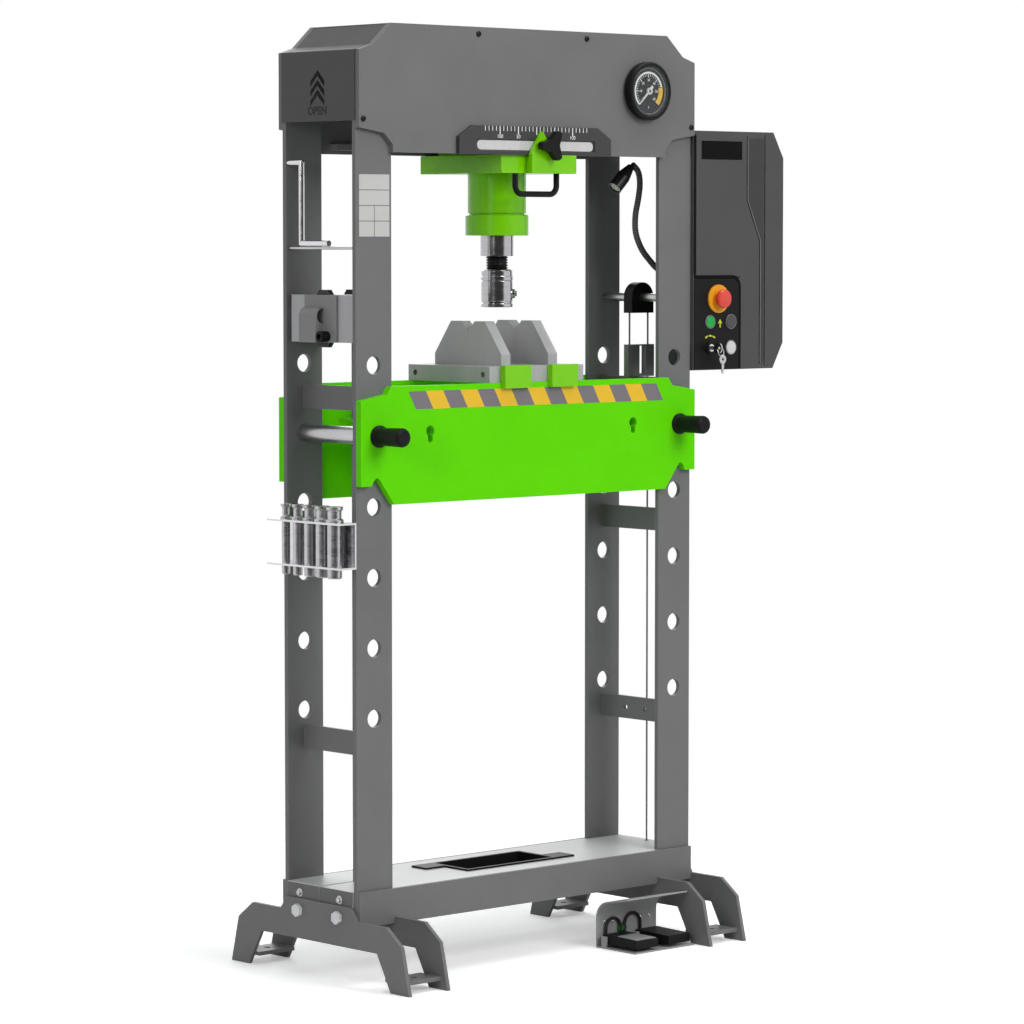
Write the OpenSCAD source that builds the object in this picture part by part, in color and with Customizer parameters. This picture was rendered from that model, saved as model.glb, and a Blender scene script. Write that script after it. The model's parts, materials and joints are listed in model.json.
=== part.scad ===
// Workshop press: welded portal frame, sliding hydraulic unit, pinned table and foot pedals.

/* [Frame] */
// Width over the outer edges of the uprights
frame_w = 924; // [880:1:1000]
// Depth over the outer faces of the front and rear uprights
frame_d = 225; // [215:1:260]
// Height of the top of the head above the floor
frame_h = 1900; // [1880:1:1980]
// Width of each upright plate
upright_w = 92; // [88:1:100]
// Thickness of each upright plate
upright_t = 10; // [8:0.5:12]
// Thickness of the plates that tie the front and rear uprights
spacer_t = 8; // [6:1:10]
// Height of the tie plates
spacer_h = 48; // [40:1:50]
// Diameter of the height setting holes
hole_d = 36; // [34:0.5:40]
// Distance between the height setting holes
hole_pitch = 140; // [136:1:146]
// Distance of the highest setting hole below the top of the head
hole_drop = 672; // [664:1:680]

/* [Head] */
// Thickness of the head plates
head_t = 12; // [10:1:16]
// Height of the head plates
head_h = 253; // [245:1:260]
// Thickness of the folded covers
cover_t = 3; // [2:0.5:4]
// Depth of the scale plate in front of the head
scale_d = 10; // [9:0.5:14]
// Width of the scale plate
scale_w = 418; // [410:1:460]
// Height of the scale plate
scale_h = 58; // [56:1:64]
// Length of the clamp slot
slot_l = 326; // [310:1:340]
// Height of the clamp slot
slot_h = 23; // [18:1:25]
// Diameter of the gauge bezel
gauge_d = 121; // [110:1:130]

/* [Press unit] */
// Place of the press unit along the head
ram_x = 13; // [-20:1:30]
// Width of the carriage plate along the head
carriage_w = 200; // [190:1:230]
// Depth of the carriage plate
carriage_d = 248; // [240:1:248]
// Thickness of the carriage plate
carriage_t = 37; // [32:1:42]
// Outer diameter of the cylinder
cylinder_d = 120; // [116:1:128]
// Bore of the cylinder
bore_d = 88; // [84:1:90]
// Height of the cylinder below the carriage plate
cylinder_h = 80; // [70:1:90]
// Diameter of the gland ring
gland_d = 130; // [128:1:140]
// Height of the gland ring
gland_h = 46; // [40:1:52]
// Diameter of the piston rod
rod_d = 68; // [66:1:72]
// Length of piston rod that shows below the gland ring
rod_out = 42; // [35:1:50]
// Diameter of the threaded spindle
spindle_d = 46; // [42:1:48]
// Length of thread that shows
spindle_out = 27; // [24:1:34]
// Diameter of the tool coupling
coupling_d = 66; // [64:1:72]
// Height of the tool coupling
coupling_h = 78; // [72:1:82]
// Bore of the tool socket
socket_d = 50; // [40:1:52]
// Depth of the tool socket
socket_depth = 50; // [40:1:56]

/* [Table] */
// Thickness of the table plates
table_t = 15; // [12:1:18]
// Height of the table plates
table_h = 234; // [228:1:240]
// Height of the table top above its pins
table_over_pin = 98; // [92:1:104]
// Radial clearance of the pins in their holes
pin_gap = 0.3; // [0.2:0.05:0.6]
// Length of the pin grips
grip_l = 77; // [60:1:85]
// Length of the V blocks
block_l = 250; // [246:1:256]
// Width of each V block foot
block_w = 130; // [120:1:140]
// Height of the V block foot
block_foot_h = 33; // [28:1:38]
// Thickness of the V plate
block_t = 25; // [20:1:32]
// Height of a V block
block_h = 123; // [115:1:125]

/* [Base] */
// Height of the lower edge of the base plates
base_z = 115; // [112:1:122]
// Height of the base plates
base_h = 70; // [68:1:78]
// Thickness of the base plates
base_t = 8; // [6:1:10]
// Thickness of the leg plates
leg_t = 8; // [6:1:10]
// Length of a leg from the middle to the toe
leg_l = 278; // [270:1:300]
// Length of the storage tray opening
tray_l = 235; // [220:1:250]
// Width of the storage tray opening
tray_w = 104; // [96:1:112]
// Depth of the storage tray
tray_depth = 45; // [38:1:48]

/* [Cabinet] */
// Width of the cabinet
cabinet_w = 275; // [265:1:290]
// Height of the cabinet
cabinet_h = 506; // [500:1:520]
// Depth of the cabinet behind its front cover
cabinet_box_d = 55; // [50:1:60]
// Depth of the front cover
cabinet_cover_d = 50; // [46:1:60]
// Distance of the cabinet's upper edge below the top of the head
cabinet_drop = 195; // [194:1:215]
// Diameter of the lamp arm
lamp_arm_d = 13; // [11:1:15]

/* [Rope] */
// Diameter of the lifting rope
rope_d = 4; // [3:0.5:4.5]
// Pitch diameter of the top pulley
pulley_d = 54; // [50:1:58]
// Pitch diameter of the base pulleys
sheave_d = 48; // [44:1:50]
// Pitch diameter of the winch drum
drum_d = 48; // [44:1:52]

/* [Pedals] */
// Width of the pedal guard
guard_w = 173; // [168:1:176]
// Depth of the pedal guard
guard_d = 118; // [112:1:130]
// Height of the straight part of the guard wall
guard_h = 62; // [54:1:64]
// Thickness of the guard sheet
guard_t = 3; // [2:0.5:4]
// Width of a pedal
pedal_w = 62; // [55:1:64]
// Length of a pedal
pedal_l = 102; // [95:1:104]
// Height of a pedal
pedal_h = 20; // [16:1:24]

/* [Hidden] */
$fn = 64;

// Colours
paint_grey = "#6b6b6d";
dark_grey = "#4a4a4c";
light_grey = "#a4a5a6";
table_green = "#62dc00";
unit_green = "#5aaf1e";
black = "#1e1e20";
steel = "#b8babc";
machined = "#96989a";

// Clearance of sliding and turning faces
gap = 0.3;
// Radial clearance of running fits
fit = 0.08;
// Overlap that lets a cut leave the material
cut = 1;

// Frame levels and faces
half_w = frame_w / 2;
inner_x = half_w - upright_w;
hole_x = half_w - upright_w / 2;
face_y = frame_d / 2;
inner_y = face_y - upright_t;
upright_top = frame_h - 60;
hole_count = 6;
hole_top_z = frame_h - hole_drop;
pin_level = 1;
pin_z = hole_top_z - pin_level * hole_pitch;
head_z = frame_h - head_h;
head_y = face_y + head_t;
spacer_x = hole_x + spacer_t / 2;
spacer_levels = [hole_top_z - 778, hole_top_z - 369, hole_top_z - 91];

// Head outline
head_flat = half_w - 82;
head_shoulder = half_w - 35;
head_shoulder_z = frame_h - 43;
head_end_z = frame_h - 54;
head_toe_z = head_z + 47;
head_neck = half_w - 87;
head_neck_z = head_z + 15;
head_heel = half_w - 65;
head_heel_z = head_z + 37;
rail_l = 680;
rail_w = 20;
rail_t = 12.5;
rail_z = head_z + 8;
cover_half = face_y - gap;
cover_low_z = head_toe_z + 14;
top_half = head_flat - 4;
hinge_pin_d = 6;
hinge_pin_z = frame_h - hinge_pin_d / 2 - 0.2;
chevron_w = 44;
chevron_t = 13;
chevron_pitch = 19;
chevron_z = frame_h - 150;

// Scale and gauge
scale_y = head_y + scale_d;
scale_z = head_z - 1;
scale_corner = [38, 23];
slot_z = scale_z + 19;
slot_floor = scale_d - 3;
gauge_x = 313;
gauge_z = frame_h - 117;
gauge_depth = 22;
gauge_rim = 8;
gauge_dial = 8;
needle_l = 40;
needle_zero = 225;

// Press unit levels
carriage_top = head_z - 0.5;
carriage_z = carriage_top - carriage_t;
cylinder_z = carriage_z - cylinder_h;
gland_z = cylinder_z - gland_h;
rod_z = gland_z - rod_out;
coupling_top = rod_z - spindle_out;
coupling_z = coupling_top - coupling_h;
barrel_d = cylinder_d - 16;
barrel_top = frame_h - 60;
piston_z = carriage_top + 20;
piston_h = 32;
hanger_flange_h = 12;
hanger_w = 180;
shank_h = 60;
thread_pitch = 5.4;
thread_depth = 3;
bracket_t = 10;
bracket_y = scale_y + 0.5;
bracket_front = bracket_y + bracket_t;
knob_x = ram_x + 7;
knob_r = 32;
knob_screw_d = 8;
handle_w = 114;
handle_d = 12;
handle_h = 42;
handle_bend = 18;
handle_y = carriage_d / 2 - 6;

// Table levels
table_top = pin_z + table_over_pin;
table_z = table_top - table_h;
table_y = face_y + table_t;
table_flat = half_w - 78;
table_notch = half_w - 67;
table_end_top = table_top - 27;
table_end_z = table_z + 38;
table_foot = half_w - 86;
cross_x = inner_x - 98;
cross_t = 10;
keyhole_x = half_w - 181;
pin_d = hole_d - 2 * pin_gap;
pin_back = table_y + 12;
grip_d = 38;
grip_collar_d = 44;
block_mid = [ram_x - 3 - block_w / 2, ram_x - 3 + block_w / 2];
block_half_l = 102;
block_top_half = 52;
block_cheek_h = 23;
v_half = 21;
stop_w = 72;
stop_t = 12.5;
stop_drop = 11;
stop_rise = 2;

// Base and leg levels
base_top = base_z + base_h;
base_y = face_y + base_t;
sheet_t = 3;
sheet_z = base_top - sheet_t;
slit_w = 6;
slit_end = inner_x - 40;
flange_drop = 28;
leg_top = sheet_z - flange_drop;
leg_crown = 101;
leg_shoulder = 118;
leg_arm_z = 128;
leg_knee = 209;
leg_ankle = [leg_l - 23, 94];
leg_toe_in = leg_l - 56;
leg_arch = [181, 73];
foot_bar = [leg_l - 81, leg_l - 20];
foot_bar_z = 18;
foot_bar_t = 8;
anchor_d = 14;
anchor_y = leg_l - 50;
leg_bolt_d = 16;
leg_bolt_y = 62;
leg_bolt_z = 130;
bolt_head_h = 8;
tray_x = 3.5;
tray_lip = 4;
tray_wall = 3;
tray_tab = [54, 46];

// Rope route in the middle plane of the frame
rope_r = rope_d / 2;
rope_left_x = inner_x + 6;
drum_z = frame_h - 580;
drum_x = rope_left_x + drum_d / 2;
sheave_z = 150;
sheave_left_x = rope_left_x - sheave_d / 2;
pulley_x = hole_x + 4;
pulley_z = frame_h - 547;
rope_out_x = pulley_x + pulley_d / 2;
rope_in_x = pulley_x - pulley_d / 2;
sheave_right_x = rope_out_x - sheave_d / 2;
shaft_d = 18;
small_shaft_d = 12;
wheel_w = 14;
housing_r = pulley_d / 2 + 5;
housing_d = 25;
housing_low = pulley_z - 33;
guide_top = spacer_levels[2] + spacer_h + 68;
guide_x = [pulley_x - 37, pulley_x + 40];
guide_w = 13;
guide_window = [pulley_x - 3, pulley_x + 15];
tab_z = pin_z + 22;
tab_t = 8;
tab_w = 60;
clamp_d = 14;
clamp_h = 12;

// Winch, crank and tool rack on the left side
winch_z = [drum_z - 48, drum_z + 46];
winch_x = half_w - 7;
winch_t = 6;
winch_half = 95;
winch_guide = [41, 25, 10];
winch_guide_y = -3.5;
cheek_y = 38;
drum_flange_r = drum_d / 2 + 8;
winch_cover_y = [-51, 47];
hump_y = [-10.5, 42];
hump_r = 19;
hump_z = drum_z + 4;
worm_y = -24;
worm_z = drum_z - 36;
worm_r = 10;
worm_shaft_d = 10;
crank_d = 12;
crank_y = 62;
crank_z = [frame_h - 432.4, frame_h - 272];
crank_end_y = -23;
rest_rod_d = 6;
rest_rod_z = crank_z[0] - crank_d / 2 - rest_rod_d / 2 - gap;
rack_z = [hole_top_z - 401, hole_top_z - 313];
rack_t = 4;
rack_depth = 44;
mandrel_x = half_w + 25;
mandrel_pitch = 38;
mandrel_d = [17, 20, 24, 27, 30];
mandrel_low = rack_z[0] - 19;
mandrel_top = rack_z[1] + 35;

// Cabinet
cabinet_x = half_w;
cabinet_right = cabinet_x + cabinet_w;
cabinet_top = frame_h - cabinet_drop;
cabinet_z = cabinet_top - cabinet_h;
cabinet_y = 120;
seam_y = cabinet_y - cabinet_cover_d;
bevel_x = cabinet_right - 57;
corner_cut = [31, 55];
box_wall = 3;
// Flange of the cabinet box that is bolted to the side of the front upright
cabinet_flange_t = 2;
groove_w = 4;
groove_depth = 3;
panel_t = 2;
panel_w = 132;
panel_h = 190;
panel_corner = 18;
panel_x = cabinet_x + 4;
button_d = 28;
start_d = 25;
button_out = 3;
button_l = 16;
left_column = panel_x + 47;
right_column = panel_x + 109;
estop_x = panel_x + 70;
button_row = cabinet_z + 102;
key_row = cabinet_z + 47;
estop_z = cabinet_z + 151;
estop_d = 40;
collar_d = 60;
estop_stem_d = 22;
lamp_y = -40;
lamp_root = [cabinet_x, frame_h - 492];
lamp_bends = [
  [-0.8, 0], [-14, 0.5], [-28, 7], [-48, 23], [-73, 48], [-90, 82], [-91, 118],
  [-83, 152], [-78, 184], [-83, 210], [-100, 225]
];
lamp_route = [for (bend = lamp_bends) lamp_root + bend];
lamp_head_d = 30;
lamp_head_l = 72;

// Pedals
guard_x = inner_x - leg_t - 7 - guard_w;
guard_back = base_y + 0.5;
guard_bend = 38;
hood_rise = 11;
hood_front = guard_back + guard_d - 23;
pedal_z = 9;
pedal_gap = 31;
pedal_left_x = guard_x + 6.5;
pedal_right_x = pedal_left_x + pedal_w + pedal_gap;
pedal_back = guard_back + guard_t + 10.5;
hinge_inset = 8;
hinge_y = pedal_back + hinge_inset;
hinge_z = pedal_z + pedal_h / 2;
hinge_d = 6;
lug_t = 5;
cable_d = 6.6;
lead_gap = 1.9;
terminal = [26, 9.5, 18];

// The part stands with the middle of its footprint at the origin
left_reach = half_w + rack_depth;
mid_x = (cabinet_right - left_reach) / 2;

module place() {
  translate([-mid_x, 0, 0]) children();
}

// Prism along Y from y0 to y1 over an outline drawn in X and Z
module along_y(y0, y1) {
  translate([0, y1, 0]) rotate([90, 0, 0]) linear_extrude(y1 - y0) children();
}

// Prism along X from x0 to x1 over an outline drawn in Y and Z
module along_x(x0, x1) {
  translate([x0, 0, 0]) rotate([90, 0, 90]) linear_extrude(x1 - x0) children();
}

module block(low, high) {
  translate(low) cube(high - low);
}

module rod_y(x, z, y0, y1, d) {
  translate([x, y1, z]) rotate([90, 0, 0]) cylinder(d = d, h = y1 - y0);
}

module rod_x(y, z, x0, x1, d) {
  translate([x0, y, z]) rotate([0, 90, 0]) cylinder(d = d, h = x1 - x0);
}

module rod_z(x, y, z0, z1, d) {
  translate([x, y, z0]) cylinder(d = d, h = z1 - z0);
}

// Outline and its mirror image joined along the Z axis
function both_sides(half) = concat(half, [for (i = [len(half) - 1:-1:0]) [-half[i][0], half[i][1]]]);

// Side frames
module side_frame(side) {
  union() {
    for (face = [-1, 1])
      along_y(face > 0 ? inner_y : -face_y, face > 0 ? face_y : -inner_y)
        difference() {
          polygon([
            [side * inner_x, base_z], [side * half_w, base_z],
            [side * half_w, upright_top], [side * inner_x, upright_top]
          ]);
          for (i = [0:hole_count - 1])
            translate([side * hole_x, hole_top_z - i * hole_pitch]) circle(d = hole_d);
        }
    for (z = spacer_levels)
      block(
        [side > 0 ? spacer_x - spacer_t : -spacer_x, -inner_y, z],
        [side > 0 ? spacer_x : -spacer_x + spacer_t, inner_y, z + spacer_h]
      );
  }
}

module side_frame_left() {
  color(paint_grey) place() side_frame(-1);
}

// Right side frame with the rope guide on its highest tie plate
module side_frame_right() {
  guide_z = spacer_levels[2] + spacer_h;
  low_hole_z = spacer_levels[0] + spacer_h / 2;
  color(paint_grey) place() {
    difference() {
      side_frame(1);
      for (y = [-30, 30])
        rod_x(y, low_hole_z, spacer_x - spacer_t - cut, spacer_x + cut, 12);
    }
    difference() {
      block([guide_x[0], -guide_w / 2, guide_z], [guide_x[1], guide_w / 2, guide_top]);
      block(
        [guide_window[0], -guide_w, guide_z + 6],
        [guide_window[1], guide_w, guide_top - 3]
      );
      for (x = [rope_in_x, rope_out_x])
        rod_z(x, 0, guide_z - cut, guide_top + cut, 2 * rope_d);
    }
  }
}

// Head
module head_outline() {
  polygon(both_sides([
    [head_flat, frame_h], [head_shoulder, head_shoulder_z], [half_w, head_end_z],
    [half_w, head_toe_z], [head_heel, head_heel_z], [head_neck, head_neck_z],
    [head_neck, head_z]
  ]));
}

module head_plate(face) {
  color(paint_grey) place() {
    along_y(face > 0 ? face_y : -head_y, face > 0 ? head_y : -face_y) head_outline();
    block(
      [-rail_l / 2, face > 0 ? face_y - rail_w : -face_y, rail_z],
      [rail_l / 2, face > 0 ? face_y : -face_y + rail_w, rail_z + rail_t]
    );
  }
}

module head_front_plate() {
  head_plate(-1);
}

module head_rear_plate() {
  head_plate(1);
}

module head_top_cover() {
  lip = 18;
  color(paint_grey) place() {
    block([-top_half, -face_y, frame_h - cover_t], [top_half, face_y, frame_h]);
    for (side = [-1, 1])
      block(
        [side > 0 ? top_half - cover_t : -top_half, -inner_y, frame_h - lip],
        [side > 0 ? top_half : -top_half + cover_t, inner_y, frame_h - cover_t]
      );
  }
}

// Folded end flap with three arrow cut-outs, hinged at the edge of the top cover
module end_cover(side) {
  face_x = half_w + cover_t;
  color(dark_grey) place() difference() {
    union() {
      rod_y(side * head_flat, hinge_pin_z, -cover_half, cover_half, hinge_pin_d);
      along_y(-cover_half, cover_half) mirror([side > 0 ? 0 : 1, 0]) polygon([
        [face_x, cover_low_z], [face_x, head_end_z], [head_shoulder, head_shoulder_z],
        [head_flat + 1, frame_h - 1], [head_flat + 1, frame_h - 1 - 1.35 * cover_t],
        [head_shoulder - 0.3 * cover_t, head_shoulder_z - 1.2 * cover_t],
        [half_w, head_end_z - cover_t], [half_w, cover_low_z]
      ]);
    }
    for (i = [0:2])
      along_x(side > 0 ? half_w - cut : -face_x - cut, side > 0 ? face_x + cut : -half_w + cut)
        translate([0, chevron_z + i * chevron_pitch]) polygon(both_sides([
          [0, chevron_w / 2], [chevron_w / 2, 0],
          [chevron_w / 2, -chevron_t], [0, chevron_w / 2 - chevron_t]
        ]));
  }
}

module end_cover_left() {
  end_cover(-1);
}

module end_cover_right() {
  end_cover(1);
}

module scale_plate() {
  half = scale_w / 2;
  top = scale_z + scale_h;
  color(dark_grey) place() difference() {
    along_y(-scale_y, -head_y) polygon(both_sides([
      [half - scale_corner[0], top], [half, top - scale_corner[1]], [half, scale_z]
    ]));
    along_y(-scale_y - cut, -head_y - slot_floor)
      translate([-slot_l / 2, slot_z - slot_h / 2]) square([slot_l, slot_h]);
  }
}

module gauge_body() {
  color(black) place() translate([gauge_x, -head_y, gauge_z]) rotate([90, 0, 0])
    rotate_extrude() polygon([
      [0, 0], [gauge_d / 2 - 4, 0], [gauge_d / 2 - 4, 4], [gauge_d / 2, 6],
      [gauge_d / 2, gauge_depth - 3], [gauge_d / 2 - 3, gauge_depth],
      [gauge_d / 2 - gauge_rim, gauge_depth], [gauge_d / 2 - gauge_rim, gauge_depth - gauge_dial],
      [3, gauge_depth - gauge_dial], [3, gauge_depth - gauge_dial + 4],
      [0, gauge_depth - gauge_dial + 4]
    ]);
}

module gauge_needle() {
  low = gauge_depth - gauge_dial + 1;
  color("#d8d8d8") place() translate([gauge_x, -head_y - low, gauge_z])
    rotate([90, 0, 0]) rotate([0, 0, needle_zero]) difference() {
      union() {
        cylinder(d = 14, h = 4);
        linear_extrude(2) polygon([[-14, -3], [-14, 3], [needle_l, 0.8], [needle_l, -0.8]]);
      }
      translate([0, 0, -cut]) cylinder(r = 3 + gap, h = 6);
    }
}

// Base, legs and tray
module base_frame() {
  color(paint_grey) place() {
    for (face = [-1, 1])
      block(
        [-half_w, face > 0 ? face_y : -base_y, base_z],
        [half_w, face > 0 ? base_y : -face_y, base_top]
      );
    for (side = [-1, 1])
      block(
        [side > 0 ? half_w - base_t : -half_w, -inner_y, base_z],
        [side > 0 ? half_w : -half_w + base_t, inner_y, sheet_z]
      );
  }
}

module base_top_sheet() {
  mid_w = tray_l / 2 + tray_wall + gap;
  color(light_grey) place() difference() {
    union() {
      block([-inner_x, -face_y, sheet_z], [inner_x, face_y, base_top]);
      block([-half_w - sheet_t, -inner_y, sheet_z], [half_w + sheet_t, inner_y, base_top]);
      for (side = [-1, 1])
        block(
          [side > 0 ? half_w : -half_w - sheet_t, -leg_crown, leg_top],
          [side > 0 ? half_w + sheet_t : -half_w, leg_crown, base_top]
        );
    }
    block(
      [tray_x - mid_w, -tray_w / 2 - tray_wall - gap, sheet_z - cut],
      [tray_x + mid_w, tray_w / 2 + tray_wall + gap, base_top + cut]
    );
    block([-half_w - sheet_t - cut, -slit_w / 2, leg_top - cut], [-slit_end, slit_w / 2, base_top + cut]);
    rod_z(rope_out_x, 0, sheet_z - cut, base_top + cut, 3 * rope_d);
  }
}

module storage_tray() {
  half_l = tray_l / 2;
  half_b = tray_w / 2;
  body_l = half_l + tray_wall;
  body_b = half_b + tray_wall;
  floor_z = base_top - tray_depth;
  rim_z = base_top + tray_lip;
  color(black) place() translate([tray_x, 0, 0]) difference() {
    union() {
      block([-body_l, -body_b, floor_z], [body_l, body_b, rim_z]);
      block([-body_l - tray_lip, -body_b - tray_lip, base_top], [body_l + tray_lip, body_b + tray_lip, rim_z]);
      block([-body_l - tray_tab[0], body_b + tray_lip - tray_tab[1], base_top], [0, body_b + tray_lip, rim_z]);
      block([0, -body_b - tray_lip, base_top], [body_l + tray_tab[0], -body_b - tray_lip + tray_tab[1], rim_z]);
    }
    block([-half_l, -half_b, floor_z + tray_wall], [half_l, half_b, rim_z + cut]);
  }
}

module leg_outline() {
  polygon(concat(
    [[leg_crown, leg_top], [leg_shoulder, leg_arm_z], [leg_knee, leg_arm_z], leg_ankle,
      [leg_l, 0], [leg_toe_in, 0], leg_arch],
    [[-leg_arch[0], leg_arch[1]], [-leg_toe_in, 0], [-leg_l, 0], [-leg_ankle[0], leg_ankle[1]],
      [-leg_knee, leg_arm_z], [-leg_shoulder, leg_arm_z], [-leg_crown, leg_top]]
  ));
}

// Inner leg plate, cut round the base plates and the rope
module inner_leg_outline() {
  rope_notch = 28;
  difference() {
    leg_outline();
    translate([-rope_notch / 2, base_z - 8]) square([rope_notch, leg_top]);
    for (face = [-1, 1])
      translate([face > 0 ? face_y - gap : -base_y - gap, base_z - gap])
        square([base_t + 2 * gap, leg_top]);
  }
}

module leg_pair(side) {
  outer = side > 0 ? half_w : -half_w - leg_t;
  inner = side > 0 ? inner_x - leg_t : -inner_x;
  along_x(outer, outer + leg_t) leg_outline();
  along_x(inner, inner + leg_t) inner_leg_outline();
  for (end = [-1, 1]) {
    difference() {
      block(
        [side > 0 ? inner_x : -half_w, end > 0 ? foot_bar[0] : -foot_bar[1], foot_bar_z],
        [side > 0 ? half_w : -inner_x, end > 0 ? foot_bar[1] : -foot_bar[0], foot_bar_z + foot_bar_t]
      );
      rod_z(side * hole_x, end * anchor_y, foot_bar_z - cut, foot_bar_z + foot_bar_t + cut, anchor_d);
    }
    rod_x(end * leg_bolt_y, leg_bolt_z, side > 0 ? inner_x : -half_w + base_t,
      side > 0 ? half_w - base_t : -inner_x, leg_bolt_d);
    translate([side > 0 ? half_w + leg_t : -half_w - leg_t - bolt_head_h, end * leg_bolt_y, leg_bolt_z])
      rotate([0, 90, 0]) cylinder(d = 27, h = bolt_head_h, $fn = 6);
  }
}

module legs() {
  color(paint_grey) place() {
    leg_pair(-1);
    leg_pair(1);
  }
}

// Press unit
module carriage_plate() {
  hanger_z = rail_z + rail_t + gap;
  neck_y = face_y - rail_w - 12;
  color(unit_green) place() translate([ram_x, 0, 0]) difference() {
    union() {
      block([-carriage_w / 2, -carriage_d / 2, carriage_z], [carriage_w / 2, carriage_d / 2, carriage_top]);
      block([-hanger_w / 2, -neck_y, carriage_top], [hanger_w / 2, neck_y, hanger_z]);
      block(
        [-hanger_w / 2, -face_y + 1.5, hanger_z],
        [hanger_w / 2, face_y - 1.5, hanger_z + hanger_flange_h]
      );
    }
    rod_z(0, 0, carriage_z - cut, hanger_z + hanger_flange_h + cut, barrel_d + 0.2);
  }
}

module cylinder_barrel() {
  bore_top = barrel_top - 12;
  color(unit_green) place() translate([ram_x, 0, 0]) difference() {
    union() {
      rod_z(0, 0, cylinder_z, carriage_z, cylinder_d);
      rod_z(0, 0, carriage_z - cut, barrel_top, barrel_d);
    }
    rod_z(0, 0, cylinder_z - cut, bore_top, bore_d);
  }
}

module gland_ring() {
  groove_h = 3;
  color(unit_green) place() translate([ram_x, 0, gland_z]) rotate_extrude() polygon([
    [rod_d / 2 + fit, 0], [gland_d / 2 - 1.5, 0], [gland_d / 2, 1.5],
    [gland_d / 2, gland_h - groove_h - 2], [gland_d / 2 - 2, gland_h - groove_h],
    [cylinder_d / 2 - 3, gland_h - groove_h], [cylinder_d / 2 - 3, gland_h],
    [rod_d / 2 + fit, gland_h]
  ]);
}

module carriage_handle() {
  low = carriage_z - handle_h;
  color(black) place() translate([ram_x, -handle_y, 0]) {
    for (side = [-1, 1]) {
      rod_z(side * handle_w / 2, 0, low + handle_bend, carriage_z, handle_d);
      translate([side * (handle_w / 2 - handle_bend), 0, low + handle_bend])
        rotate([90, 0, 0]) rotate([0, 0, side > 0 ? 270 : 180])
          rotate_extrude(angle = 90) translate([handle_bend, 0]) circle(d = handle_d);
    }
    rod_x(0, low, -handle_w / 2 + handle_bend, handle_w / 2 - handle_bend, handle_d);
  }
}

module pointer_bracket() {
  tip_z = scale_z + scale_h - 10;
  color(unit_green) place() translate([ram_x, 0, 0]) difference() {
    union() {
      along_y(-bracket_front, -bracket_y) polygon([
        [-35, carriage_z], [88, carriage_z], [88, carriage_top], [30, carriage_top],
        [-5, tip_z], [-35, carriage_top + 2]
      ]);
      block([-30, -bracket_y, carriage_z + 2], [80, -carriage_d / 2, carriage_top - 2]);
    }
    rod_y(knob_x - ram_x, slot_z, -bracket_front - cut, -bracket_y + cut, knob_screw_d + 2 * gap);
  }
}

module clamp_knob() {
  star_t = 16;
  arms = 3;
  back = bracket_front + gap;
  color(black) place() translate([knob_x, 0, slot_z]) {
    rod_y(0, 0, -back, -head_y - slot_floor - gap, knob_screw_d);
    rod_y(0, 0, -back - 6, -back, 22);
    translate([0, -back - 6, 0]) rotate([90, 0, 0]) {
      cylinder(r = knob_r / 2 - 3, h = star_t);
      for (i = [0:arms - 1])
        rotate([0, 0, 360 / arms * i + 60]) linear_extrude(star_t)
          polygon([[0, -14], [knob_r - 3, -7], [knob_r, -4], [knob_r, 4], [knob_r - 3, 7], [0, 14]]);
    }
  }
}

module piston_rod() {
  color(steel) place() translate([ram_x, 0, 0]) difference() {
    union() {
      rod_z(0, 0, rod_z, piston_z, rod_d);
      rod_z(0, 0, piston_z, piston_z + piston_h, bore_d - 2 * fit);
    }
    rod_z(0, 0, rod_z - cut, rod_z + shank_h + gap, spindle_d + 2 * fit);
  }
}

module spindle() {
  root_r = spindle_d / 2 - thread_depth;
  turns = floor(spindle_out / thread_pitch);
  color(black) place() translate([ram_x, 0, 0]) {
    rod_z(0, 0, rod_z, rod_z + shank_h, spindle_d);
    rod_z(0, 0, coupling_top, rod_z, 2 * root_r);
    for (i = [0:turns - 1])
      translate([0, 0, coupling_top + i * thread_pitch]) rotate_extrude() polygon([
        [root_r - 1, 0.4], [root_r, 0.4], [spindle_d / 2, thread_pitch / 2 - 0.6],
        [spindle_d / 2, thread_pitch / 2 + 0.6], [root_r, thread_pitch - 0.4],
        [root_r - 1, thread_pitch - 0.4]
      ]);
  }
}

module tool_coupling() {
  r = coupling_d / 2;
  detent_z = coupling_z + 28;
  color(steel) place() translate([ram_x, 0, 0]) {
    difference() {
      translate([0, 0, coupling_z]) rotate_extrude() polygon([
        [0, 0], [r - 1, 0], [r, 1], [r, 7], [r - 1.5, 8], [r - 1.5, 12], [r - 0.5, 13],
        [r - 0.5, 53], [r - 1.5, 54], [r, 55.5], [r, 63], [r - 1, 64], [r - 1, coupling_h - 3],
        [r - 4, coupling_h], [0, coupling_h]
      ]);
      rod_z(0, 0, coupling_z - cut, coupling_z + socket_depth, socket_d);
    }
    translate([0, 0, detent_z]) rotate([0, 90, -42]) translate([0, 0, r - 3]) {
      cylinder(d = 20, h = 7);
      cylinder(d = 12, h = 11);
    }
  }
}

// Table
module table_outline() {
  polygon(both_sides([
    [table_flat, table_top], [table_notch, table_top - 16], [half_w, table_end_top],
    [half_w, table_end_z], [half_w - 28, table_end_z], [half_w - 32, table_end_z + 9],
    [half_w - 38, table_end_z + 15], [half_w - 43, table_end_z + 16],
    [half_w - 48, table_end_z + 13], [table_foot, table_z]
  ]));
}

module table_plate(face) {
  difference() {
    along_y(face > 0 ? face_y : -table_y, face > 0 ? table_y : -face_y) table_outline();
    for (side = [-1, 1])
      rod_y(side * hole_x, pin_z, -table_y - cut, table_y + cut, hole_d);
  }
}

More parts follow.
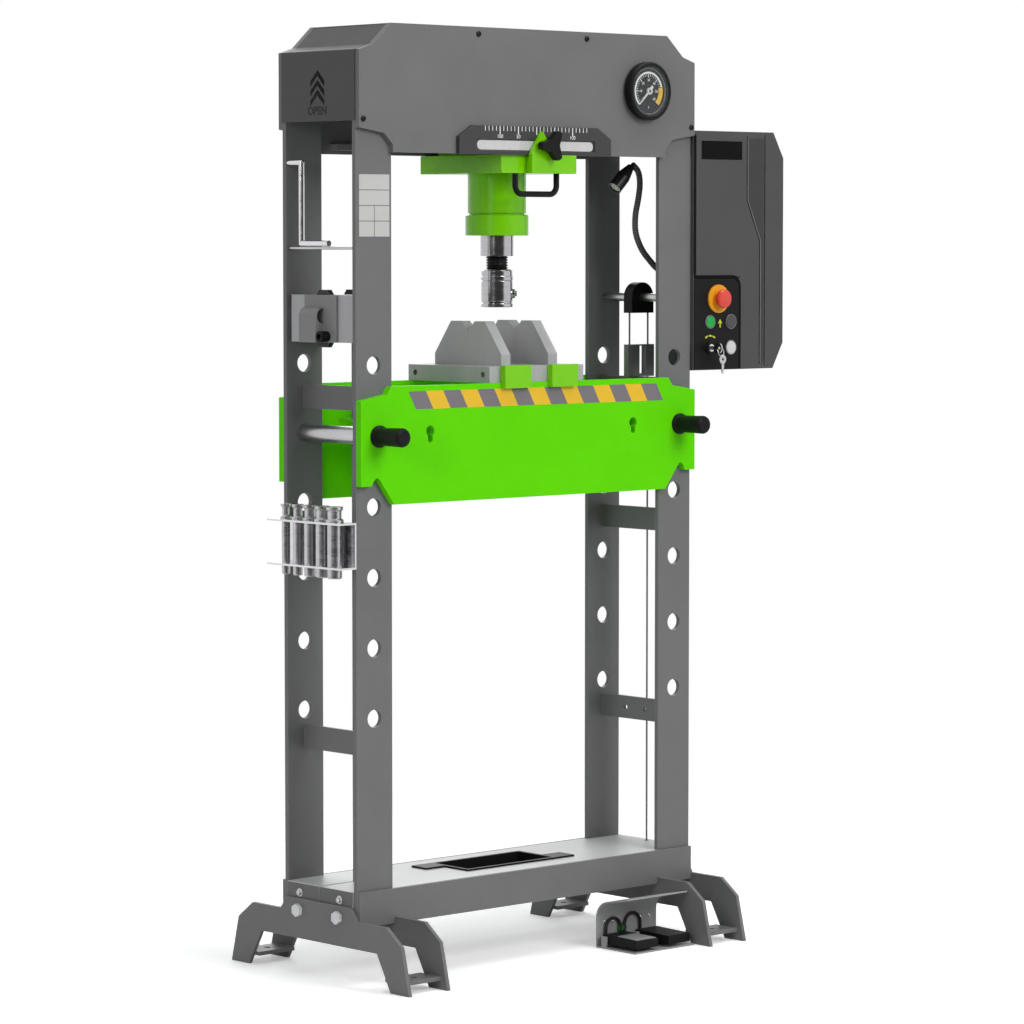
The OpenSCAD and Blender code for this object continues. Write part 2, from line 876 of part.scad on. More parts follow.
module table_front_plate() {
  keyhole_z = pin_z + 7;
  color(table_green) place() difference() {
    table_plate(-1);
    for (side = [-1, 1]) {
      rod_y(side * keyhole_x, keyhole_z, -table_y - cut, -face_y + cut, 22);
      rod_y(side * keyhole_x, keyhole_z - 17, -table_y - cut, -face_y + cut, 13);
      along_y(-table_y - cut, -face_y + cut)
        translate([side * keyhole_x - 6.5, keyhole_z - 17]) square([13, 17]);
    }
  }
}

// Rear plate with the cross plates and the rope anchors welded to it
module table_rear_plate() {
  left_tab = rope_left_x + 10;
  right_tab = rope_in_x + 7;
  color(table_green) place() {
    table_plate(1);
    for (side = [-1, 1])
      block(
        [side > 0 ? cross_x - cross_t : -cross_x, -face_y, table_z + 10],
        [side > 0 ? cross_x : -cross_x + cross_t, face_y, table_top - 10]
      );
    difference() {
      union() {
        block([-left_tab, -tab_w / 2, tab_z], [-cross_x, tab_w / 2, tab_z + tab_t]);
        rod_z(-rope_left_x, 0, tab_z - clamp_h, tab_z, clamp_d);
      }
      rod_z(-rope_left_x, 0, tab_z - clamp_h - cut, tab_z + tab_t + cut, rope_d + 2 * gap);
    }
    difference() {
      union() {
        block([cross_x, -tab_w / 2, tab_z], [right_tab, tab_w / 2, tab_z + tab_t]);
        rod_z(rope_in_x, 0, tab_z + tab_t, tab_z + tab_t + clamp_h, clamp_d);
      }
      rod_z(rope_in_x, 0, tab_z + tab_t / 2, tab_z + tab_t + clamp_h + cut, rope_d + 2 * gap);
    }
  }
}

module v_block(mid) {
  foot_top = table_top + block_foot_h;
  top = table_top + block_h;
  hole_y = block_l / 2 - 21;
  color(machined) place() translate([mid, 0, 0]) difference() {
    union() {
      block([-block_w / 2, -block_l / 2, table_top], [block_w / 2, block_l / 2, foot_top]);
      along_x(-block_t / 2, block_t / 2) difference() {
        polygon(both_sides([
          [block_top_half, top], [block_half_l, foot_top + block_cheek_h], [block_half_l, foot_top]
        ]));
        polygon([[-v_half - cut, top + cut], [v_half + cut, top + cut], [0, top - v_half]]);
      }
    }
    for (end = [-1, 1])
      for (side = [-1, 1])
        rod_x(end * hole_y, table_top + block_foot_h / 2, side > 0 ? block_w / 2 - 18 : -block_w / 2 - cut,
          side > 0 ? block_w / 2 + cut : -block_w / 2 + 18, 12);
  }
}

module v_block_left() {
  v_block(block_mid[0]);
}

module v_block_right() {
  v_block(block_mid[1]);
}

module block_stops() {
  lip = table_y + gap;
  front = lip + stop_t;
  top = table_top + block_foot_h + stop_rise;
  color(table_green) place()
    for (mid = block_mid)
      along_x(mid - stop_w / 2, mid + stop_w / 2) polygon([
        [-block_l / 2, table_top + 2], [-block_l / 2, top], [-front, top],
        [-front, table_top - stop_drop], [-lip, table_top - stop_drop], [-lip, table_top + 2]
      ]);
}

module table_pin(side) {
  color(steel) place() rod_y(side * hole_x, pin_z, -table_y, pin_back, pin_d);
}

module pin_left() {
  table_pin(-1);
}

module pin_right() {
  table_pin(1);
}

module pin_grip(side) {
  color(black) place() translate([side * hole_x, -table_y, pin_z]) rotate([90, 0, 0])
    rotate_extrude() polygon([
      [0, 0], [grip_collar_d / 2, 0], [grip_collar_d / 2, 5], [grip_d / 2 - 1.5, 9],
      [grip_d / 2, grip_l - 6], [grip_d / 2 - 1.5, grip_l - 2], [grip_d / 2 - 5, grip_l], [0, grip_l]
    ]);
}

module pin_grip_left() {
  pin_grip(-1);
}

module pin_grip_right() {
  pin_grip(1);
}

// Winch
// Trapezoid guide foot standing on the winch bracket
module winch_foot(x, z, up) {
  half = winch_guide[0] / 2;
  tip = winch_guide[1] / 2;
  translate([x, winch_guide_y, z]) mirror([0, 0, up ? 0 : 1])
    along_x(0, 12) polygon([[-half, 0], [half, 0], [tip, winch_guide[2]], [-tip, winch_guide[2]]]);
}

module winch_bracket() {
  inner = -rope_left_x + 4;
  color(light_grey) place() difference() {
    union() {
      block([-winch_x, -winch_half, winch_z[0]], [-winch_x + winch_t, winch_half, winch_z[1]]);
      for (z = [winch_z[0], winch_z[1] - winch_t])
        block([-winch_x, -winch_half, z], [inner, winch_half, z + winch_t]);
      for (side = [-1, 1]) {
        block(
          [-winch_x, side > 0 ? cheek_y : -cheek_y - winch_t, winch_z[0]],
          [inner, side > 0 ? cheek_y + winch_t : -cheek_y, winch_z[1]]
        );
        for (x = [-winch_x + 6, inner - 26])
          block(
            [x, side > 0 ? winch_half : -inner_y, drum_z - 20],
            [x + 20, side > 0 ? inner_y : -winch_half, drum_z + 20]
          );
        for (x = [-winch_x + 6, inner - 26])
          block(
            [x, side > 0 ? winch_half - winch_t : -winch_half, winch_z[0]],
            [x + 20, side > 0 ? winch_half : -winch_half + winch_t, winch_z[1]]
          );
      }
      winch_foot(-winch_x, winch_z[1], true);
      winch_foot(-winch_x, winch_z[0], false);
      winch_foot(inner - 12, winch_z[1], true);
    }
    rod_y(-drum_x, drum_z, -cheek_y - winch_t - cut, cheek_y + winch_t + cut, 14 + 2 * gap);
    rod_x(worm_y, worm_z, -winch_x - cut, -winch_x + winch_t + cut, worm_shaft_d + 2 * gap);
    block([-rope_left_x - 8, -8, winch_z[0] - cut], [inner + cut, 8, winch_z[0] + winch_t + cut]);
  }
}

module winch_cover() {
  outer = winch_x + 6;
  color(paint_grey) place() difference() {
    union() {
      block([-outer, winch_cover_y[0], winch_z[0]], [-winch_x, winch_cover_y[1], winch_z[1]]);
      rod_y(-outer, hump_z, hump_y[0], hump_y[1], 2 * hump_r);
      block([-outer - hump_r, hump_y[0], winch_z[0]], [-outer, hump_y[1], hump_z]);
    }
    block([-winch_x, hump_y[0] - cut, winch_z[0]], [0, hump_y[1] + cut, winch_z[1]]);
    rod_x(worm_y, worm_z, -outer - cut, -winch_x + cut, worm_shaft_d + 2 * gap);
    rod_y(-outer, hump_z, hump_y[0] - cut, hump_y[1] - 4, 2 * hump_r - 8);
  }
}

module winch_drum() {
  core_r = drum_d / 2 - rope_r - gap;
  inner_half = cheek_y - gap;
  color(steel) place() translate([-drum_x, 0, drum_z]) rotate([90, 0, 0]) {
    translate([0, 0, -inner_half]) rotate_extrude() polygon([
      [0, 0], [drum_flange_r, 0], [drum_flange_r, 4], [core_r, 4],
      [core_r, 2 * inner_half - 4], [drum_flange_r, 2 * inner_half - 4],
      [drum_flange_r, 2 * inner_half], [0, 2 * inner_half]
    ]);
    translate([0, 0, -cheek_y - winch_t - 3]) cylinder(d = 14, h = 2 * (cheek_y + winch_t + 3));
  }
}

module winch_socket() {
  outer = winch_x + 6;
  color(black) place() translate([0, worm_y, worm_z]) difference() {
    union() {
      rod_x(0, 0, -outer - 22, -outer - gap, 2 * worm_r);
      rod_x(0, 0, -outer - gap, -winch_x + 20, worm_shaft_d);
      for (i = [0:5])
        rotate([60 * i, 0, 0]) translate([0, worm_r, 0]) rod_x(0, 0, -outer - 20, -outer - 6, 4);
    }
    translate([-outer - 23, 0, 0]) rotate([0, 90, 0]) cylinder(d = 13, h = 16, $fn = 6);
  }
}

module crank_handle() {
  color(steel) place() translate([-winch_x, 0, 0]) {
    rod_y(0, crank_z[1], crank_y, inner_y - gap, crank_d);
    rod_y(0, crank_z[0], crank_end_y, crank_y, crank_d);
    rod_z(0, crank_y, crank_z[0], crank_z[1], crank_d);
    for (z = crank_z)
      translate([0, crank_y, z]) sphere(d = crank_d);
  }
}

// Rope shafts and the rod that the crank rests on
module cross_rods() {
  color(steel) place() {
    rod_y(pulley_x, pulley_z, -inner_y, inner_y, shaft_d);
    rod_y(sheave_right_x, sheave_z, -inner_y, inner_y, small_shaft_d);
    rod_y(-sheave_left_x, sheave_z, -face_y, face_y, small_shaft_d);
    rod_y(-winch_x, rest_rod_z, -inner_y, inner_y, rest_rod_d);
  }
}

// Tool rack
function mandrel_y(i) = (2 - i) * mandrel_pitch;

module tool_rack() {
  color(light_grey) place() difference() {
    union() {
      block([-half_w - rack_t, -face_y, rack_z[0]], [-half_w, face_y, rack_z[1] + rack_t]);
      for (z = rack_z)
        block([-half_w - rack_depth, -face_y, z], [-half_w - rack_t, face_y, z + rack_t]);
    }
    for (i = [0:len(mandrel_d) - 1])
      rod_z(-mandrel_x, mandrel_y(i), rack_z[0] - cut, rack_z[1] + rack_t + cut, mandrel_d[i] + 2 * gap);
  }
}

module mandrels() {
  seat = rack_z[1] + rack_t;
  color(steel) place()
    for (i = [0:len(mandrel_d) - 1]) {
      d = mandrel_d[i];
      translate([-mandrel_x, mandrel_y(i), 0]) rotate_extrude() polygon([
        [0, mandrel_low], [d / 2 - 2, mandrel_low], [d / 2, mandrel_low + 2], [d / 2, seat],
        [d / 2 + 3, seat], [d / 2 + 3, seat + 5], [d / 2 - 1, seat + 8], [d / 2 - 1, mandrel_top - 8],
        [d / 2 + 2, mandrel_top - 6], [d / 2 + 2, mandrel_top], [0, mandrel_top]
      ]);
    }
}

// Rope and pulleys
module grooved_wheel(pitch_d, width, bore) {
  rim = pitch_d / 2 + 2.2;
  root = pitch_d / 2 - rope_r - gap;
  rotate([90, 0, 0]) translate([0, 0, -width / 2]) rotate_extrude() polygon([
    [bore / 2, 0], [rim, 0], [rim, 2], [root, width / 2 - rope_r - gap],
    [root, width / 2 + rope_r + gap], [rim, width - 2], [rim, width], [bore / 2, width]
  ]);
}

module pulley_housing() {
  cavity_r = pulley_d / 2 + 3.2;
  cavity_w = wheel_w + 2 * gap;
  color(black) place() translate([pulley_x, 0, 0]) difference() {
    union() {
      rod_y(0, pulley_z, -housing_d / 2, housing_d / 2, 2 * housing_r);
      block([-housing_r, -housing_d / 2, housing_low], [housing_r, housing_d / 2, pulley_z]);
    }
    rod_y(0, pulley_z, -cavity_w / 2, cavity_w / 2, 2 * cavity_r);
    block([-cavity_r, -cavity_w / 2, housing_low - cut], [cavity_r, cavity_w / 2, pulley_z]);
    rod_y(0, pulley_z, -housing_d, housing_d, shaft_d + 2 * fit);
  }
}

module pulley_wheel() {
  color(light_grey) place() translate([pulley_x, 0, pulley_z])
    grooved_wheel(pulley_d, wheel_w, shaft_d + 2 * fit);
}

module base_sheave_left() {
  color(light_grey) place() translate([-sheave_left_x, 0, sheave_z])
    grooved_wheel(sheave_d, wheel_w, small_shaft_d + 2 * fit);
}

module base_sheave_right() {
  color(light_grey) place() translate([sheave_right_x, 0, sheave_z])
    grooved_wheel(sheave_d, wheel_w, small_shaft_d + 2 * fit);
}

module rope_arc(x, z, d, start, sweep) {
  translate([x, 0, z]) rotate([90, 0, 0]) rotate([0, 0, start])
    rotate_extrude(angle = sweep) translate([d / 2, 0]) circle(d = rope_d);
}

// One rope from the winch drum through the base and over the top pulley to the table
module lift_rope() {
  run_z = sheave_z - sheave_d / 2;
  color(steel) place() {
    rope_arc(-drum_x, drum_z, drum_d, 0, 200);
    rod_z(-rope_left_x, 0, sheave_z, drum_z, rope_d);
    rope_arc(-sheave_left_x, sheave_z, sheave_d, 180, 90);
    rod_x(0, run_z, -sheave_left_x, sheave_right_x, rope_d);
    rope_arc(sheave_right_x, sheave_z, sheave_d, 270, 90);
    rod_z(rope_out_x, 0, sheave_z, pulley_z, rope_d);
    rope_arc(pulley_x, pulley_z, pulley_d, 0, 180);
    rod_z(rope_in_x, 0, tab_z + tab_t / 2, pulley_z, rope_d);
  }
}

// Cabinet
module cabinet_front_outline() {
  polygon([
    [cabinet_x, cabinet_z], [cabinet_right - corner_cut[0], cabinet_z],
    [cabinet_right, cabinet_z + corner_cut[1]], [cabinet_right, cabinet_top - corner_cut[1]],
    [cabinet_right - corner_cut[0], cabinet_top], [cabinet_x, cabinet_top]
  ]);
}

module cabinet_box() {
  back = cabinet_box_d - seam_y;
  color(dark_grey) place() {
    difference() {
      along_y(-seam_y, back) cabinet_front_outline();
      block(
        [cabinet_x + box_wall, -seam_y - cut, cabinet_z + corner_cut[1]],
        [cabinet_right - box_wall, back - box_wall, cabinet_top - corner_cut[1]]
      );
    }
    block(
      [cabinet_x, -face_y, cabinet_z + corner_cut[1]],
      [cabinet_x + cabinet_flange_t, -seam_y + box_wall, cabinet_top - corner_cut[1]]
    );
  }
}

module cover_groove(points) {
  for (i = [0:len(points) - 2]) {
    from = points[i];
    to = points[i + 1];
    run = to - from;
    translate([from[0], -cabinet_y, from[1]]) rotate([0, -atan2(run[1], run[0]), 0])
      translate([-groove_w / 2, -cut, -groove_w / 2])
        cube([norm(run) + groove_w, groove_depth + cut, groove_w]);
  }
}

// Moulded cover with clipped corners and styling grooves
module cabinet_cover() {
  fold_x = bevel_x - 15;
  lid_x = cabinet_x + 9;
  lid_z = cabinet_z + panel_h + 6;
  color(dark_grey) place() difference() {
    intersection() {
      along_y(-cabinet_y, -seam_y) cabinet_front_outline();
      block([cabinet_x + 2, -cabinet_y, cabinet_z], [cabinet_right, -seam_y, cabinet_top]);
    }
    block(
      [panel_x + 8, -cabinet_y + 14, cabinet_z + corner_cut[1] - 20],
      [bevel_x - 30, -seam_y + cut, cabinet_top - corner_cut[1]]
    );
    cover_groove([
      [fold_x - 39, cabinet_top - 12], [fold_x - 39, cabinet_top - 146],
      [fold_x, cabinet_top - 232], [fold_x, cabinet_z + 12]
    ]);
    cover_groove([[bevel_x, cabinet_top - 8], [bevel_x, cabinet_z + 8]]);
    cover_groove([[lid_x, cabinet_top - 12], [lid_x, lid_z], [lid_x + panel_w, lid_z]]);
    for (spot = button_places())
      rod_y(spot[0], spot[1], -cabinet_y - cut, -cabinet_y + 20, spot[2] + 4);
  }
}

// Centre and diameter of each control on the panel
function button_places() = [
  [left_column, button_row, start_d], [right_column, button_row, button_d],
  [right_column, key_row, button_d], [left_column, key_row, 16], [estop_x, estop_z, estop_stem_d]
];

module control_panel() {
  front = cabinet_y + panel_t;
  color(black) place() difference() {
    union() {
      along_y(-front, -cabinet_y) translate([panel_x, cabinet_z + 2]) difference() {
        square([panel_w, panel_h]);
        translate([panel_w - panel_corner, panel_h - panel_corner]) difference() {
          square([panel_corner + cut, panel_corner + cut]);
          circle(r = panel_corner);
        }
      }
      rod_y(left_column, key_row, -front - 5, -front, 27);
      for (at = [[right_column, button_row], [right_column, key_row]])
        rod_y(at[0], at[1], -front - 1.5, -front, button_d + 5);
    }
    for (spot = button_places())
      rod_y(spot[0], spot[1], -front - 9, -cabinet_y + cut, spot[2] + 2 * gap);
  }
}

module estop_collar() {
  front = cabinet_y + panel_t;
  color("#eba01e") place() difference() {
    rod_y(estop_x, estop_z, -front - 4, -front, collar_d);
    rod_y(estop_x, estop_z, -front - 5, -front + cut, estop_stem_d + 2 * gap);
  }
}

module estop_button() {
  front = cabinet_y + panel_t + 4;
  color("#e15546") place() translate([estop_x, -front + 14, estop_z]) rotate([90, 0, 0])
    rotate_extrude() polygon([
      [0, 0], [estop_stem_d / 2, 0], [estop_stem_d / 2, 22], [estop_d / 2 - 2, 24],
      [estop_d / 2, 26], [estop_d / 2, 31], [estop_d / 2 - 3, 34], [0, 36]
    ]);
}

module push_button(x, z, d, tint) {
  front = cabinet_y + panel_t + button_out;
  color(tint) place() translate([x, -front + button_l, z]) rotate([90, 0, 0])
    rotate_extrude() polygon([[0, 0], [d / 2, 0], [d / 2, button_l - 1], [d / 2 - 1, button_l], [0, button_l]]);
}

module start_button() {
  push_button(left_column, button_row, start_d, "#00aa3c");
}

module up_button() {
  push_button(right_column, button_row, button_d, "#3a3a3c");
}

module down_button() {
  push_button(right_column, key_row, button_d, "#cdcdcd");
}

module key() {
  front = cabinet_y + panel_t + 5;
  color(steel) place() translate([left_column, -front, key_row]) {
    rod_y(0, 0, 0, 10, 16);
    block([-1.1, -9, -4], [1.1, 0, 4]);
    difference() {
      rod_x(-19, 0, -1.1, 1.1, 24);
      rod_x(-24, 0, -2, 2, 6);
    }
  }
}

// Round tube swept along a route in the plane of constant Y
function route_direction(p, i) = let(
  a = p[max(i - 1, 0)],
  b = p[min(i + 1, len(p) - 1)]
) (b - a) / norm(b - a);

function smooth_point(p, t) = let(
  i = min(floor(t), len(p) - 2),
  u = t - i,
  p0 = p[max(i - 1, 0)],
  p1 = p[i],
  p2 = p[i + 1],
  p3 = p[min(i + 2, len(p) - 1)]
) 0.5 * (2 * p1 + (p2 - p0) * u + (2 * p0 - 5 * p1 + 4 * p2 - p3) * u * u
  + (3 * p1 - p0 - 3 * p2 + p3) * u * u * u);

module flat_route_tube(route, d, steps, sides = 12) {
  path = [for (k = [0:steps]) smooth_point(route, k * (len(route) - 1) / steps)];
  points = [
    for (i = [0:steps])
      for (s = [0:sides - 1])
        let(dir = route_direction(path, i), a = 360 * s / sides)
          [path[i][0] - dir[1] * cos(a) * d / 2, sin(a) * d / 2, path[i][1] + dir[0] * cos(a) * d / 2]
  ];
  faces = concat(
    [[for (s = [0:sides - 1]) s]],
    [[for (s = [sides - 1:-1:0]) steps * sides + s]],
    [
      for (i = [0:steps - 1])
        for (s = [0:sides - 1])
          let(n = (s + 1) % sides) [i * sides + n, i * sides + s, (i + 1) * sides + s, (i + 1) * sides + n]
    ]
  );
  polyhedron(points, faces);
}

module lamp_arm() {
  color(black) place() translate([0, lamp_y, 0]) flat_route_tube(lamp_route, lamp_arm_d, 36);
}

module lamp_head() {
  tilt = 224;
  neck = lamp_arm_d / 2 + 0.1;
  end = lamp_route[len(lamp_route) - 1];
  color(black) place() translate([end[0], lamp_y, end[1]]) rotate([0, 90 - tilt, 0])
    rotate_extrude() difference() {
      polygon([
        [0, neck], [lamp_arm_d / 2 + 1, neck], [lamp_head_d / 2 - 3, 24], [lamp_head_d / 2, 38],
        [lamp_head_d / 2, lamp_head_l], [0, lamp_head_l]
      ]);
      translate([0, lamp_head_l - 8]) square([lamp_head_d / 2 - 2, 9]);
    }
}

// Pedals
// Floor plate, wall and rising hood bent from one sheet, with the pedal hinges
module guard_outline() {
  front = guard_back + guard_d;
  turn = 90 - hood_rise;
  centre = [-guard_back - guard_bend, guard_h];
  out = [cos(turn), sin(turn)];
  run = [-sin(turn), cos(turn)];
  start = centre + guard_bend * out;
  reach = (start[0] + hood_front) / sin(turn);
  translate([-front, 0]) square([guard_d, guard_t]);
  translate([-guard_back - guard_t, 0]) square([guard_t, guard_h]);
  intersection() {
    translate(centre) difference() {
      circle(r = guard_bend);
      circle(r = guard_bend - guard_t);
    }
    polygon([centre, centre + [2 * guard_bend, 0], centre + [2 * guard_bend, 2 * guard_bend],
      centre + 2 * guard_bend * out]);
  }
  polygon([start, start + reach * run, start + reach * run - guard_t * out, start - guard_t * out]);
}

module pedal_guard() {
  color(paint_grey) place() {
    along_x(guard_x, guard_x + guard_w) guard_outline();
    for (x = [pedal_left_x, pedal_right_x]) {
      for (at = [x - gap - lug_t, x + pedal_w + gap])
        block([at, -hinge_y - 7, guard_t], [at + lug_t, -hinge_y + 7, hinge_z + 6]);
      rod_x(-hinge_y, hinge_z, x - gap - lug_t, x + pedal_w + gap + lug_t, hinge_d);
    }
  }
}

module pedal(x, tint) {
  front = pedal_back + pedal_l;
  color(tint) place() difference() {
    along_x(x, x + pedal_w) polygon([
      [-pedal_back, pedal_z + 2], [-pedal_back, pedal_z + pedal_h - 3], [-pedal_back - 3, pedal_z + pedal_h],
      [-front + 2, pedal_z + pedal_h - 2], [-front, pedal_z + pedal_h - 4], [-front, pedal_z],
      [-pedal_back - 16, pedal_z], [-pedal_back - 12, pedal_z + 2]
    ]);
    rod_x(-hinge_y, hinge_z, x - cut, x + pedal_w + cut, hinge_d + 2 * gap);
  }
}

module pedal_left() {
  pedal(pedal_left_x, paint_grey);
}

module pedal_right() {
  pedal(pedal_right_x, black);
}

// Two looped leads from behind the pedals to the terminal block at the foot of the wall
module pedal_cables() {
  wall_y = -guard_back - guard_t;
  lead_y = wall_y - lead_gap - cable_d / 2;
  mid = (pedal_left_x + pedal_right_x + pedal_w) / 2 - 15;
  crest = [37, 40];
  bend = [21, 23];
  color(black) place() {
    block([mid - terminal[0] / 2, wall_y - terminal[1], guard_t], [mid + terminal[0] / 2, wall_y, terminal[2]]);
    for (i = [0, 1]) {
      side = i == 0 ? -1 : 1;
      near = mid + side * 6;
      translate([near + side * bend[i], lead_y, 0]) {
        rod_z(-side * bend[i], 0, terminal[2] - cut, crest[i], cable_d);
        rod_z(side * bend[i], 0, guard_t, crest[i], cable_d);
        translate([0, 0, crest[i]]) rotate([90, 0, 0]) rotate_extrude(angle = 180)
          translate([bend[i], 0]) circle(d = cable_d);
      }
    }
  }
}

side_frame_left();
side_frame_right();
head_front_plate();
head_rear_plate();
head_top_cover();
end_cover_left();
end_cover_right();
scale_plate();
gauge_body();
gauge_needle();
base_frame();
base_top_sheet();
storage_tray();
legs();
carriage_plate();
cylinder_barrel();  // cylinder
gland_ring();
carriage_handle();
pointer_bracket();
clamp_knob();
piston_rod();
spindle();
tool_coupling();
table_front_plate();
table_rear_plate();
v_block_left();
v_block_right();
block_stops();
pin_left();
pin_right();
pin_grip_left();
pin_grip_right();
winch_bracket();
winch_cover();
winch_drum();
winch_socket();
crank_handle();
cross_rods();
tool_rack();
mandrels();
pulley_housing();
pulley_wheel();
base_sheave_left();
base_sheave_right();
lift_rope();
cabinet_box();
cabinet_cover();
control_panel();
estop_collar();
estop_button();
start_button();
up_button();
down_button();
key();
lamp_arm();
lamp_head();
pedal_guard();
pedal_left();
pedal_right();
pedal_cables();
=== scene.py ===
"""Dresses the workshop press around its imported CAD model.

Every CAD piece gets a procedural material, the small marks and fasteners that the CAD
leaves out are built here, and the studio light and the photograph's camera follow.

Places are millimetres in the press's own frame: X right, Y back, Z up, with the origin
on the floor midway between the uprights.
"""

import json
import math

import bpy
from mathutils import Matrix, Vector


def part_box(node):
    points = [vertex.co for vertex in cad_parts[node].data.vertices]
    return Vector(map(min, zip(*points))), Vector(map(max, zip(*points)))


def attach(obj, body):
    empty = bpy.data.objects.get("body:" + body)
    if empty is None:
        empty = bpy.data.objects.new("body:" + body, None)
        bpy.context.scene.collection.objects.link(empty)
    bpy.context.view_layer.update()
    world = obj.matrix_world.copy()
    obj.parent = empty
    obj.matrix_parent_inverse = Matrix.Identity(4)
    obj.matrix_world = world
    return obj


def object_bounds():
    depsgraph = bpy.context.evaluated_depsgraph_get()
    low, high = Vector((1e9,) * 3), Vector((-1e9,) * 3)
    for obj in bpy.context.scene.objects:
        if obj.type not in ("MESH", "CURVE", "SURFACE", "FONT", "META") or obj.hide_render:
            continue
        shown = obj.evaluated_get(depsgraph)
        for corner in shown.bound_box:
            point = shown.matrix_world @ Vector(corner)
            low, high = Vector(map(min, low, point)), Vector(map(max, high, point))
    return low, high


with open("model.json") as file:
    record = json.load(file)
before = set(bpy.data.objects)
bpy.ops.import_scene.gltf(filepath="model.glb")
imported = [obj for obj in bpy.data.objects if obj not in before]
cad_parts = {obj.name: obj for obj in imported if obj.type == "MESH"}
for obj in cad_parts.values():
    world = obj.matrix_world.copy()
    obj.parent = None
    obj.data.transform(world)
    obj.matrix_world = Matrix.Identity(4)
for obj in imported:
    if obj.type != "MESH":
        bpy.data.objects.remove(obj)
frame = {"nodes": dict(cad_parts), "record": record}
cad_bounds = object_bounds()

MM = 0.001
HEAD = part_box("head_front_plate")
ORIGIN = Vector(((HEAD[0].x + HEAD[1].x) / 2, 0, 0))


def press_box(node):
    """Lowest and highest corner of a CAD node, in press millimetres."""
    return tuple((corner - ORIGIN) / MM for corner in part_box(node))


# ---------------------------------------------------------------- geometry

FACINGS = {
    "front": ((1, 0, 0), (0, 0, 1), (0, -1, 0)),
    "rear": ((-1, 0, 0), (0, 0, 1), (0, 1, 0)),
    "left": ((0, -1, 0), (0, 0, 1), (-1, 0, 0)),
    "right": ((0, 1, 0), (0, 0, 1), (1, 0, 0)),
    "top": ((1, 0, 0), (0, 1, 0), (0, 0, 1)),
}
CURVE_STEPS = 40
FONT_STEPS = 3
ROUNDING_STEPS = 2
SMOOTH_ANGLE = math.radians(35)


def facing(side, x, y, z):
    """Places a drawing on a face: its x runs right, y up and z out of that side."""
    right, up, out = FACINGS[side]
    turn = Matrix((right, up, out)).transposed().to_4x4()
    return Matrix.Translation((x, y, z)) @ turn


def aimed(start, along):
    """Places a drawing at start with its z along a direction."""
    turn = Vector(along).to_track_quat("Z", "Y").to_matrix().to_4x4()
    return Matrix.Translation(start) @ turn


def circle(radius, steps=CURVE_STEPS):
    turns = [2 * math.pi * i / steps for i in range(steps)]
    return [(radius * math.cos(turn), radius * math.sin(turn)) for turn in turns]


def rectangle(x0, y0, x1, y1):
    return [(x0, y0), (x1, y0), (x1, y1), (x0, y1)]


def stadium(x0, y0, x1, y1, steps=12):
    """A bar with round ends."""
    radius = (y1 - y0) / 2
    middle = (y0 + y1) / 2
    outline = []
    for centre, first in ((x1 - radius, -math.pi / 2), (x0 + radius, math.pi / 2)):
        for i in range(steps + 1):
            turn = first + math.pi * i / steps
            outline.append((centre + radius * math.cos(turn), middle + radius * math.sin(turn)))
    return outline


